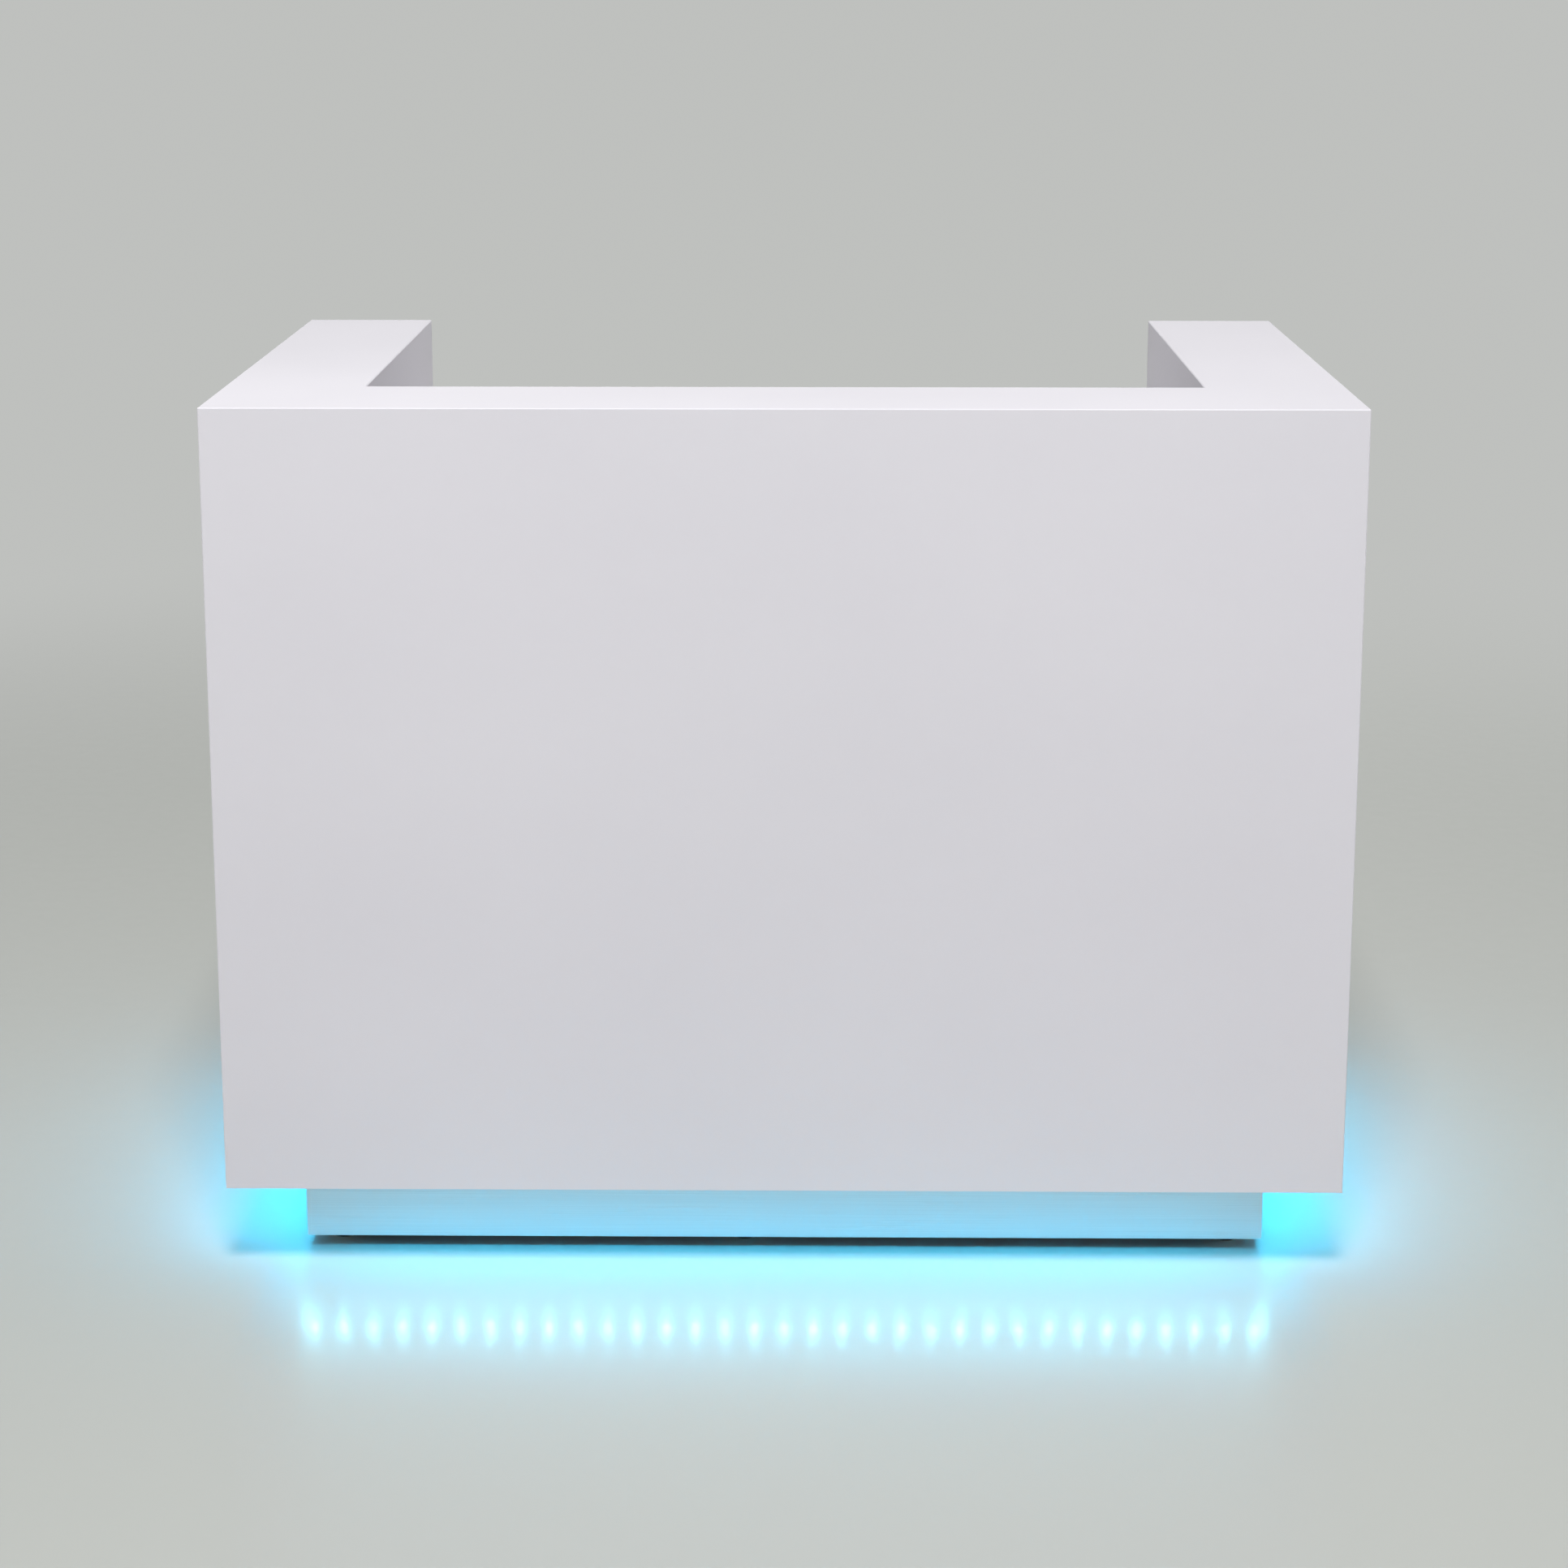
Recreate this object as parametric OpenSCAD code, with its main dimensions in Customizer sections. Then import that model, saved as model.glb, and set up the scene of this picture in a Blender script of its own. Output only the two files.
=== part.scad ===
// Reception desk for a standing visitor and a seated receptionist. Three hollow walls of white
// laminated board stand in a U on a recessed metal-faced plinth, with light tape under the overhang.
// A worktop and a hanging two-drawer pedestal fill the staff side. Millimetres, +Z up. The visitor
// stands at -Y and sees -X as left, and the origin is on the floor under the middle of the desk.

/* [Overall] */
// Width across the outer side faces
desk_w = 1230; // [1180:10:1400]
// Depth from the visitor's face to the staff ends
desk_d = 760; // [740:10:900]
// Height of the counter above the floor
desk_h = 970; // [930:10:1100]
// Height of the body's underside above the floor
body_lift = 100; // [90:1:130]

/* [Boards and walls] */
// Thickness of the laminated boards
board_t = 18; // [16:1:20]
// Depth of the front wall over both faces
front_wall_d = 160; // [150:1:180]
// Width of each side wall over both faces
side_wall_w = 155; // [150:1:180]
// Flat of the eased edge on every outer arris
edge_ease = 1; // [0.6:0.1:1.6]
// Distance of the front wall's two ribs from the middle
front_rib_x = 240; // [200:5:300]
// Distance of the side walls' ribs behind the middle
side_rib_y = 70; // [20:5:110]

/* [Plinth] */
// Set-back of the toe kick from the outer faces
kick_setback = 76; // [66:1:80]
// Set-back of the plinth from the inner faces
inner_setback = 6; // [4:1:8]
// Thickness of the plinth boards
kick_t = 16; // [14:1:18]
// Gap between the floor and the plinth boards
floor_gap = 12.5; // [11:0.5:16]

/* [Levelling feet] */
// Radius of the foot pad
pad_r = 15; // [12:0.5:15]
// Height of the foot pad
pad_h = 5; // [4:0.5:6]
// Width across the flats of the adjusting hexagon
hex_af = 17; // [15:1:19]
// Radius of the threaded stud
stud_r = 5; // [4:0.5:6]
// Length of the stud above the hexagon
stud_len = 44; // [38:1:60]
// Length of the threaded insert
insert_len = 15; // [12:1:20]
// Wall of the threaded insert
insert_wall = 2; // [1.5:0.5:3]
// Height of the wooden block that holds an insert
block_h = 60; // [50:1:70]
// Length of a foot's block along its plinth run
block_len = 46; // [40:1:60]
// Place of the middle front foot along X
middle_foot_x = -45; // [-120:5:120]

/* [Light tape] */
// Pitch of the light chips
led_pitch = 33.33; // [16:0.01:50]
// Width of the tape
tape_w = 10; // [8:0.5:12]
// Thickness of the tape
tape_t = 1; // [0.8:0.1:1.5]
// Side of a light chip
chip_w = 5; // [3.5:0.5:5.5]
// Height of a light chip
chip_h = 1.6; // [1.2:0.1:2.4]
// Gap between the tape and the toe kick
tape_gap = 2; // [1:0.5:4]

/* [Light supply] */
// Length, depth and height of the driver
driver_size = [160, 60, 36];
// Length, depth and height of the controller
controller_size = [84, 44, 22];
// Distance of the driver's near end to the left of the middle
driver_x = 60; // [40:5:100]
// Gap between the driver and the controller
supply_gap = 50; // [30:5:70]
// Radius of the light leads
lead_r = 2.5; // [2:0.5:3.5]
// Radius of the lead's bend
lead_bend = 12; // [10:1:18]
// Inner radius of the cable entry bush
bush_r = 12; // [9:0.5:15]
// Wall of the cable entry bush
bush_wall = 3; // [2:0.5:4]
// Width of the bush's flange beyond its wall
bush_flange = 5; // [3:0.5:8]
// Height of the cable entry above the floor
bush_z = 170; // [150:5:220]

/* [Worktop] */
// Height of the worktop above the floor
worktop_h = 740; // [720:5:760]
// Thickness of the worktop
worktop_t = 25; // [22:1:30]
// Set-back of the worktop from the staff ends
worktop_setback = 20; // [10:1:40]
// Width of the battens
batten_w = 20; // [18:1:30]
// Height of the battens
batten_h = 40; // [30:1:50]

/* [Cable grommets] */
// Distance of each grommet from the side walls
grommet_x = 120; // [80:5:160]
// Distance of each grommet from the front wall
grommet_y = 75; // [65:5:120]
// Inner radius of the sleeve
sleeve_r = 27; // [24:0.5:32]
// Wall of the sleeve
sleeve_wall = 2.5; // [2:0.1:3.5]
// Width of the flange beyond the sleeve
flange_w = 5; // [4:0.5:7]
// Thickness of the flange
flange_t = 3; // [2.6:0.1:4]
// Thickness of the cap
cap_t = 2; // [1.4:0.1:2.2]
// Depth of the cap's skirt below its plate
skirt_h = 8; // [5:0.5:14]
// Width of the cable slot in the cap
slot_w = 18; // [12:1:20]

/* [Pedestal] */
// Width of the pedestal
ped_w = 400; // [380:5:420]
// Gap between a grommet's sleeve and the pedestal's back
ped_behind = 7.5; // [5:0.5:30]
// Height of the pedestal
ped_h = 480; // [470:5:520]
// Thickness of the carcass boards
ped_t = 16; // [15:1:18]
// Thickness of the carcass back
back_t = 6; // [4:1:8]
// Set-back of the drawer fronts from the worktop's edge
ped_setback = 20; // [10:1:30]
// Thickness of the drawer fronts
front_t = 18; // [16:1:20]
// Height of the upper drawer's front
upper_front_h = 150; // [145:1:165]
// Gap round each drawer front
reveal = 3; // [2:0.5:4]

/* [Drawers] */
// Space behind the drawer boxes in the carcass
box_behind = 30; // [20:1:50]
// Thickness of the drawer boxes' boards
box_t = 12; // [10:1:13]
// Thickness of the drawer bottoms
bottom_t = 5; // [4:0.5:6]
// Height of the upper drawer box
upper_box_h = 90; // [80:1:95]
// Height of the lower drawer box
lower_box_h = 240; // [230:1:250]
// Distance of a box's underside above its front's lower edge
box_rise = 20; // [18:1:26]
// Thickness of the hanging file rails
rail_t = 3; // [2:0.5:4]
// Height of the hanging file rails above the box
rail_h = 14; // [10:1:18]

/* [Handles] */
// Length of a handle's bar
handle_len = 160; // [120:5:220]
// Radius of a handle's bar
handle_r = 5; // [4:0.5:6]
// Distance of the bar's axis from the drawer front
handle_reach = 27; // [22:1:34]
// Distance between a handle's posts
handle_posts = 128; // [96:32:128]
// Radius of a handle's posts
post_r = 4; // [3:0.5:4]

/* [Runners] */
// Distance of the runners' front ends behind the carcass's front
runner_set = 2; // [0:0.5:6]
// Thickness of the buffer at a runner's back end
buffer_t = 6; // [4:0.5:10]
// Space that a runner takes beside a drawer
runner_w = 12.7; // [12.7:0.1:13.2]
// Height of the cabinet member
runner_h = 45; // [44:1:48]
// Thickness of the members' steel
steel_t = 1.2; // [1:0.1:1.3]
// Radius of the bearing balls
ball_r = 1.75; // [1.6:0.05:1.8]
// Running clearance of the balls
ball_clear = 0.1; // [0.05:0.01:0.15]
// Number of balls in one race
ball_count = 6; // [4:1:8]
// Length of a ball cage
cage_len = 120; // [100:5:140]
// Distance of a cage's back end from the members' back end
cage_back = 150; // [130:5:170]

/* [Lock] */
// Radius of the lock's housing
lock_r = 9; // [8:0.5:10]
// Radius of the turning barrel
barrel_r = 6.5; // [5.5:0.5:7]
// Distance of the lock from the front's side edge
lock_x = 34; // [28:1:60]
// Distance of the lock from the front's top edge
lock_z = 26; // [24:1:28]
// Length of the housing behind the drawer front
lock_tail = 14; // [12:1:18]
// Length of the cam from the barrel's axis
cam_len = 22; // [21:0.5:23]
// Width of the cam
cam_w = 9; // [7:1:10]
// Thickness of the cam
cam_t = 2.5; // [2:0.5:3]

/* [Hidden] */
$fn = 48;

// Small clearances, each named for what it parts
fit_gap = 0.3; // between a board's end and the board that it butts against
thread_gap = 0.08; // between a stud and its insert
cap_gap = 0.3; // between a grommet's cap and its sleeve
foot_gap = 0.5; // between the adjusting hexagon and the plinth
past = 1; // how far a cut runs past the face that it opens
head_round = 0.8; // radius of the rounded rim of a bush, a grommet and the lock's housing

// The walls' faces and levels
x_out = desk_w / 2;
x_in = x_out - side_wall_w;
y_front = -desk_d / 2;
y_back = desk_d / 2;
y_in = y_front + front_wall_d;
z_base = body_lift;
z_top = desk_h;
floor_top = z_base + board_t;

// The plinth's faces
x_kick = x_out - kick_setback;
y_kick = y_front + kick_setback;
y_kick_back = y_back - kick_setback;
x_rail = x_in + inner_setback;
y_rail = y_in - inner_setback;

// The feet, in the middle of the plinth's runs
foot_x = (x_kick - kick_t + x_rail + kick_t) / 2;
foot_y = (y_kick + kick_t + y_rail - kick_t) / 2;
rear_foot_y = y_kick_back - kick_t - block_len / 2;
insert_r = stud_r + thread_gap + insert_wall;
bore_over = 1; // how much wider a block's bore is than its stud, above the insert

// The light tape's middle lines
y_tape = y_kick - tape_gap - tape_w / 2;
x_tape = x_kick + tape_gap + tape_w / 2;
y_supply = y_tape;
controller_x = -driver_x + supply_gap;
lead_x = controller_x + controller_size[0] + lead_bend + lead_r;
lead_z = floor_top + controller_size[2] / 2;
bush_x = -driver_x - driver_size[0] / 2;

// The worktop and the grommets
z_under = worktop_h - worktop_t;
y_edge = y_back - worktop_setback;
x_grommet = x_in - grommet_x;
y_grommet = y_in + grommet_y;
hole_r = sleeve_r + sleeve_wall + fit_gap / 2;
flange_r = sleeve_r + sleeve_wall + flange_w;
seat_r = sleeve_r + sleeve_wall + flange_w / 2;
slot_in = 9; // radius at which the cable slot ends inside the cap

// The pedestal, whose right side lies on the right side wall
ped_x1 = x_in;
ped_x0 = ped_x1 - ped_w;
ped_mid = (ped_x0 + ped_x1) / 2;
y_face = y_edge - ped_setback;
y_carcass = y_face - front_t;
y_ped_back = y_grommet + sleeve_r + sleeve_wall + ped_behind;
ped_z1 = z_under;
ped_z0 = ped_z1 - ped_h;

// The drawers
front_w = ped_w - 2 * reveal;
upper_front_z = ped_z1 - reveal - upper_front_h;
lower_front_z = ped_z0;
lower_front_h = upper_front_z - reveal - lower_front_z;
box_w = ped_w - 2 * ped_t - 2 * runner_w;
upper_box_z = upper_front_z + box_rise;
lower_box_z = lower_front_z + box_rise;
y_box = y_ped_back + box_behind;
bottom_lift = 8; // height of a drawer bottom above its box's lower edge
groove_in = 6; // how far the drawer bottom reaches into its grooves
upper_runner_z = upper_box_z + upper_box_h / 2;
lower_runner_z = lower_box_z + lower_box_h / 2;

// The runner's section: u is the distance from the carcass side, v the height over the middle
y_runner = y_box;
runner_len = y_carcass - runner_set - y_runner;
hole_end = 35; // distance of the end fixing holes from a member's ends
hole_count = 4;
race = 2 * (ball_r + ball_clear); // space that a ball runs in
outer_v = runner_h / 2;
middle_v = outer_v - steel_t - race;
inner_v = middle_v - steel_t - race;
lip = 3.2; // height of the cabinet member's lips
bend_r = 0.8; // inner radius of the rolled bends
outer_flange = 9; // width of the cabinet member's flanges
middle_u = 2.6; // place of the middle member's web
middle_flange = 8.2; // width of the middle member's flanges
inner_flange = 7.4; // width of the drawer member's flanges
run_gap = 0.3; // between a cage's flanges and the steel beside them
cage_t = 0.6; // thickness of a cage's strip
cage_side = 0.4; // between a cage's web and the webs beside it
cage_hole = 0.15; // clearance between a ball and its hole in the cage
outer_cage_u = steel_t + cage_side;
inner_cage_u = middle_u + steel_t + cage_side;
outer_ball_u = 5.4; // places of the balls between the webs
inner_ball_u = 8;

// The lock, near the upper front's top right corner
lock_at = [ped_x1 - reveal - lock_x, upper_front_z + upper_front_h - lock_z];
rim_t = 2; // thickness of the housing's rim on the drawer front
rim_w = 2.5; // width of that rim beyond the housing
cam_gap = 1; // between the housing's tail and the cam
y_cam = y_carcass - lock_tail - cam_gap - cam_t;
catch_gap = 4; // room round the cam in its slot
key_w = 2.2; // width of the keyway
key_h = 8; // height of the keyway
key_deep = 6; // depth of the keyway

// Extrudes a (y, z) outline along X.
module along_x(x0, x1) {
    translate([x0, 0, 0]) rotate([90, 0, 90]) linear_extrude(x1 - x0) children();
}

// Extrudes an (x, z) outline along Y.
module along_y(y0, y1) {
    translate([0, y1, 0]) rotate([90, 0, 0]) linear_extrude(y1 - y0) children();
}

// Extrudes an (x, y) outline along Z.
module along_z(z0, z1) {
    translate([0, 0, z0]) linear_extrude(z1 - z0) children();
}

// A box between two opposite corners.
module block(low, high) {
    translate(low) cube(high - low);
}

// A cylinder along Y from y0 to y1, round (x, z).
module bar_y(x, z, y0, y1, r) {
    translate([x, y1, z]) rotate([90, 0, 0]) cylinder(h = y1 - y0, r = r);
}

// A cylinder along X from x0 to x1, round (y, z).
module bar_x(y, z, x0, x1, r) {
    translate([x0, y, z]) rotate([0, 90, 0]) cylinder(h = x1 - x0, r = r);
}

module mirrored_pair() {
    children();
    mirror([1, 0, 0]) children();
}

// Points of an arc round c from angle a0 to a1, in n steps.
function arc(c, r, a0, a1, n = 6) = [
    for (i = [0 : n]) let (a = a0 + (a1 - a0) * i / n) c + r * [cos(a), sin(a)],
];

// Points a turned body, whose axis is +Z, along +Y from the place given.
module facing_y(x, y, z) {
    translate([x, y, z]) rotate([-90, 0, 0]) children();
}

// A turned body: a shank of radius r and length l from the origin, under a head of radius head_r
// and thickness t whose outer rim is rounded.
module headed(r, l, head_r, t) {
    rotate_extrude() polygon(concat(
        [[0, 0], [r, 0], [r, l], [head_r, l]],
        arc([head_r - head_round, l + t - head_round], head_round, 0, 90),
        [[0, l + t]]
    ));
}

// Section of a wall board that stands on edge, with its face at a and its back s * board_t further
// in. Its top is mitred to the counter, and half of the eased arris falls on it.
function upright(a, s) = [
    [a, z_base], [a + s * board_t, z_base], [a + s * board_t, z_top - board_t],
    [a + s * edge_ease / 2, z_top - edge_ease / 2], [a, z_top - edge_ease],
];

// Section of a flat board between two mitres, whose face lies at z_top from a to b.
function flat_top(a, b) = [
    [a + edge_ease, z_top], [b - edge_ease, z_top], [b - edge_ease / 2, z_top - edge_ease / 2],
    [b - board_t, z_top - board_t], [a + board_t, z_top - board_t],
    [a + edge_ease / 2, z_top - edge_ease / 2],
];

// A board with its long edges eased, along X.
module eased_board(low, high) {
    e = edge_ease;
    intersection() {
        block(low, high);
        along_y(low[1], high[1]) polygon([
            [low[0] + e, low[2]], [high[0] - e, low[2]], [high[0], low[2] + e],
            [high[0], high[2] - e], [high[0] - e, high[2]], [low[0] + e, high[2]],
            [low[0], high[2] - e], [low[0], low[2] + e],
        ]);
        along_x(low[0], high[0]) polygon([
            [low[1], low[2]], [high[1] - e, low[2]], [high[1], low[2] + e],
            [high[1], high[2] - e], [high[1] - e, high[2]], [low[1], high[2]],
        ]);
    }
}

// The front wall's outer board, mitred to both sides and to the counter.
module front_panel() {
    e = edge_ease;
    color("whitesmoke") intersection() {
        along_z(z_base, z_top) polygon([
            [-x_out + e, y_front], [x_out - e, y_front], [x_out - e / 2, y_front + e / 2],
            [x_out - board_t, y_front + board_t], [-x_out + board_t, y_front + board_t],
            [-x_out + e / 2, y_front + e / 2],
        ]);
        along_x(-x_out, x_out) polygon(upright(y_front, 1));
    }
}

// A side wall's outer board, mitred to the front, the end board and the counter.
module side_panel() {
    e = edge_ease;
    color("whitesmoke") intersection() {
        along_z(z_base, z_top) polygon([
            [-x_out, y_front + e], [-x_out + e / 2, y_front + e / 2],
            [-x_out + board_t, y_front + board_t], [-x_out + board_t, y_back - board_t],
            [-x_out + e / 2, y_back - e / 2], [-x_out, y_back - e],
        ]);
        along_y(y_front, y_back) polygon(upright(-x_out, 1));
    }
}

module left_side_panel() side_panel();
module right_side_panel() mirror([1, 0, 0]) side_panel();

// The U-shaped counter, mitred to every wall board round its outer edge and its bay.
module counter_top() {
    e = edge_ease;
    deep = board_t + past;
    color("white") difference() {
        intersection() {
            along_y(y_front, y_back) polygon(flat_top(-x_out, x_out));
            along_x(-x_out, x_out) polygon(flat_top(y_front, y_back));
        }
        intersection() {
            along_y(y_in - deep, y_back + past) polygon([
                [-x_in - e, z_top + past], [x_in + e, z_top + past], [x_in + e, z_top],
                [x_in + e / 2, z_top - e / 2], [x_in + deep, z_top - deep],
                [-x_in - deep, z_top - deep], [-x_in - e / 2, z_top - e / 2], [-x_in - e, z_top],
            ]);
            along_x(-x_out, x_out) polygon([
                [y_in - e, z_top + past], [y_back + past, z_top + past],
                [y_back + past, z_top - deep], [y_in - deep, z_top - deep],
                [y_in - e / 2, z_top - e / 2], [y_in - e, z_top],
            ]);
        }
    }
}

// The front wall's staff-side board, with the hole for the cable entry bush.
module front_inner_panel() {
    color("whitesmoke") difference() {
        intersection() {
            along_z(z_base, z_top) polygon([
                [-x_in, y_in], [x_in, y_in],
                [x_in + board_t, y_in - board_t], [-x_in - board_t, y_in - board_t],
            ]);
            along_x(-x_out, x_out) polygon(upright(y_in, -1));
        }
        bar_y(bush_x, bush_z, y_in - board_t - past, y_in + past, bush_r + bush_wall);
    }
}

// A side wall's staff-side board.
module inner_panel() {
    e = edge_ease;
    color("whitesmoke") intersection() {
        along_z(z_base, z_top) polygon([
            [-x_in, y_in], [-x_in, y_back - e], [-x_in - e / 2, y_back - e / 2],
            [-x_in - board_t, y_back - board_t], [-x_in - board_t, y_in - board_t],
        ]);
        along_y(y_in - board_t, y_back) polygon(upright(-x_in, -1));
    }
}

module left_inner_panel() inner_panel();
module right_inner_panel() mirror([1, 0, 0]) inner_panel();

// The board that closes the staff end of a side wall.
module end_panel() {
    e = edge_ease;
    color("whitesmoke") intersection() {
        along_z(z_base, z_top) polygon([
            [-x_out + e, y_back], [-x_out + e / 2, y_back - e / 2],
            [-x_out + board_t, y_back - board_t], [-x_in - board_t, y_back - board_t],
            [-x_in - e / 2, y_back - e / 2], [-x_in - e, y_back],
        ]);
        along_x(-x_out, -x_in) polygon(upright(y_back, -1));
    }
}

module left_end_panel() end_panel();
module right_end_panel() mirror([1, 0, 0]) end_panel();

// The front wall's underside, with the hole that the light lead comes down through.
module front_bottom_board() {
    color("gainsboro") difference() {
        block([-x_out + board_t, y_front + board_t, z_base],
              [x_out - board_t, y_in - board_t, floor_top]);
        translate([lead_x, y_supply, z_base - past])
            cylinder(h = board_t + 2 * past, r = lead_r + fit_gap);
    }
}

// A side wall's underside.
module side_bottom_board() {
    color("gainsboro")
        block([-x_out + board_t, y_in - board_t, z_base],
              [-x_in - board_t, y_back - board_t, floor_top]);
}

module left_bottom_board() side_bottom_board();
module right_bottom_board() mirror([1, 0, 0]) side_bottom_board();

// Upright ribs that hold the two faces of each wall apart.
module wall_ribs() {
    color("burlywood") {
        for (x = [-front_rib_x, front_rib_x])
            block([x - board_t / 2, y_front + board_t, floor_top],
                  [x + board_t / 2, y_in - board_t, z_top - board_t]);
        mirrored_pair()
            block([-x_out + board_t, side_rib_y - board_t / 2, floor_top],
                  [-x_in - board_t, side_rib_y + board_t / 2, z_top - board_t]);
    }
}

// The visible front of the plinth, mitred at both corners.
module front_kick_board() {
    color("silver") along_z(floor_gap, z_base) polygon([
        [-x_kick, y_kick], [x_kick, y_kick],
        [x_kick - kick_t, y_kick + kick_t], [-x_kick + kick_t, y_kick + kick_t],
    ]);
}

// A visible side of the plinth.
module side_kick_board() {
    color("silver") along_z(floor_gap, z_base) polygon([
        [-x_kick, y_kick], [-x_kick + kick_t, y_kick + kick_t],
        [-x_kick + kick_t, y_kick_back], [-x_kick, y_kick_back],
    ]);
}

module left_kick_board() side_kick_board();
module right_kick_board() mirror([1, 0, 0]) side_kick_board();

// The boards that close the plinth's two staff ends.
module rear_kick_boards() {
    color("silver") mirrored_pair()
        block([-x_kick + kick_t, y_kick_back - kick_t, floor_gap],
              [-x_rail, y_kick_back, z_base]);
}

// The plinth's three rails on the staff side.
module inner_plinth_rails() {
    color("dimgray") {
        mirrored_pair()
            block([-x_rail - kick_t, y_rail - kick_t, floor_gap],
                  [-x_rail, y_kick_back - kick_t, z_base]);
        block([-x_rail + fit_gap, y_rail - kick_t, floor_gap],
              [x_rail - fit_gap, y_rail, z_base]);
    }
}

FRONT_FEET = [[-foot_x, foot_y], [middle_foot_x, foot_y], [foot_x, foot_y]];
REAR_FEET = [[-foot_x, rear_foot_y], [foot_x, rear_foot_y]];

// A foot's block, as wide as the space between the plinth boards, with a bore for insert and stud.
module foot_block(at, size) {
    translate([at[0], at[1], floor_gap]) difference() {
        translate([-size[0] / 2, -size[1] / 2, 0]) cube([size[0], size[1], block_h]);
        translate([0, 0, -past]) cylinder(h = insert_len + past, r = insert_r);
        cylinder(h = block_h + past, r = stud_r + bore_over);
    }
}

// The wooden blocks in the plinth that take the levelling feet.
module leveller_blocks() {
    run_w = x_kick - x_rail - 2 * kick_t;
    run_d = y_rail - y_kick - 2 * kick_t;
    color("burlywood") {
        foot_block(FRONT_FEET[0], [run_w, run_d]);
        foot_block(FRONT_FEET[1], [block_len, run_d]);
        foot_block(FRONT_FEET[2], [run_w, run_d]);
        for (at = REAR_FEET) foot_block(at, [run_w, block_len]);
    }
}

// The threaded inserts pressed into those blocks.
module leveller_inserts() {
    color("goldenrod") for (at = concat(FRONT_FEET, REAR_FEET))
        translate([at[0], at[1], floor_gap]) difference() {
            cylinder(h = insert_len, r = insert_r);
            translate([0, 0, -past])
                cylinder(h = insert_len + 2 * past, r = stud_r + thread_gap);
        }
}

// A hexagon nut's body, its corners turned off at 30 degrees on both faces.
module turned_hexagon(h) {
    flat = hex_af / 2;
    corner = flat / cos(30) + past;
    chamfer = (corner - flat) * tan(30);
    intersection() {
        cylinder(h = h, r = flat / cos(30), $fn = 6);
        rotate_extrude() polygon([
            [0, 0], [flat, 0], [corner, chamfer], [corner, h - chamfer], [flat, h], [0, h],
        ]);
    }
}

// A levelling foot: a domed pad over a narrower sole, an adjusting hexagon and a threaded stud with
// a chamfered end.
module leveller(at) {
    hex_h = floor_gap - foot_gap - pad_h;
    sole_t = 1.5;
    sole_in = 0.6;
    pad_edge = 1.2;
    stud_chamfer = 1;
    color("darkgray") translate([at[0], at[1], 0]) {
        rotate_extrude() polygon(concat(
            [[0, 0], [pad_r - sole_in, 0], [pad_r - sole_in, sole_t]],
            arc([pad_r - pad_edge, sole_t + pad_edge], pad_edge, 0, 60),
            [[hex_af / 2, pad_h], [0, pad_h]]
        ));
        translate([0, 0, pad_h]) turned_hexagon(hex_h);
        translate([0, 0, pad_h + hex_h]) rotate_extrude() polygon([
            [0, 0], [stud_r, 0], [stud_r, stud_len - stud_chamfer],
            [stud_r - stud_chamfer, stud_len], [0, stud_len],
        ]);
    }
}

module leveller_front_left() leveller(FRONT_FEET[0]);
module leveller_front_middle() leveller(FRONT_FEET[1]);
module leveller_front_right() leveller(FRONT_FEET[2]);
module leveller_rear_left() leveller(REAR_FEET[0]);
module leveller_rear_right() leveller(REAR_FEET[1]);

// A run of light tape under the body, along X from the origin, with its chips facing down.
module light_tape(run) {
    chips = floor((run - chip_w) / led_pitch) + 1;
    start = (run - (chips - 1) * led_pitch) / 2;
    translate([0, -tape_w / 2, -tape_t]) cube([run, tape_w, tape_t]);
    for (i = [0 : chips - 1])
        translate([start + i * led_pitch - chip_w / 2, -chip_w / 2, -tape_t - chip_h])
            cube([chip_w, chip_w, chip_h]);
}

module front_light_tape() {
    color("deepskyblue") translate([-x_kick, y_tape, z_base]) light_tape(2 * x_kick);
}

module side_light_tapes() {
    color("deepskyblue") mirrored_pair()
        translate([-x_tape, y_kick, z_base]) rotate([0, 0, 90])
            light_tape(y_kick_back - y_kick);
}

// The driver that feeds the tape, an extruded case with ribs along its top.
module light_driver() {
    ribs = 7;
    rib_h = 4;
    rib_w = driver_size[1] / (2 * ribs - 1);
    color("silver")
        translate([-driver_x - driver_size[0], y_supply - driver_size[1] / 2, floor_top]) {
            cube([driver_size[0], driver_size[1], driver_size[2] - rib_h]);
            for (i = [0 : ribs - 1])
                translate([0, 2 * i * rib_w, driver_size[2] - rib_h])
                    cube([driver_size[0], rib_w, rib_h]);
        }
}

// The colour controller between the driver and the tape, with a fixing ear at each side.
module light_controller() {
    ear = 8;
    ear_t = 3;
    ear_hole_r = 2;
    color("white")
        translate([controller_x, y_supply - controller_size[1] / 2, floor_top]) difference() {
            union() {
                cube(controller_size);
                translate([controller_size[0] / 2 - ear, -ear, 0])
                    cube([2 * ear, controller_size[1] + 2 * ear, ear_t]);
            }
            for (y = [-ear / 2, controller_size[1] + ear / 2])
                translate([controller_size[0] / 2, y, -past])
                    cylinder(h = ear_t + 2 * past, r = ear_hole_r);
        }
}

// The lead from the driver to the controller, and the one that bends down to the tape.
module light_leads() {
    color("black") {
        bar_x(y_supply, lead_z, -driver_x, controller_x, lead_r);
        bar_x(y_supply, lead_z, controller_x + controller_size[0], lead_x - lead_bend, lead_r);
        translate([lead_x - lead_bend, y_supply, lead_z - lead_bend]) rotate([90, 0, 0])
            rotate_extrude(angle = 90) translate([lead_bend, 0]) circle(r = lead_r);
        translate([lead_x, y_supply, z_base])
            cylinder(h = lead_z - lead_bend - z_base, r = lead_r);
    }
}

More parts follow.
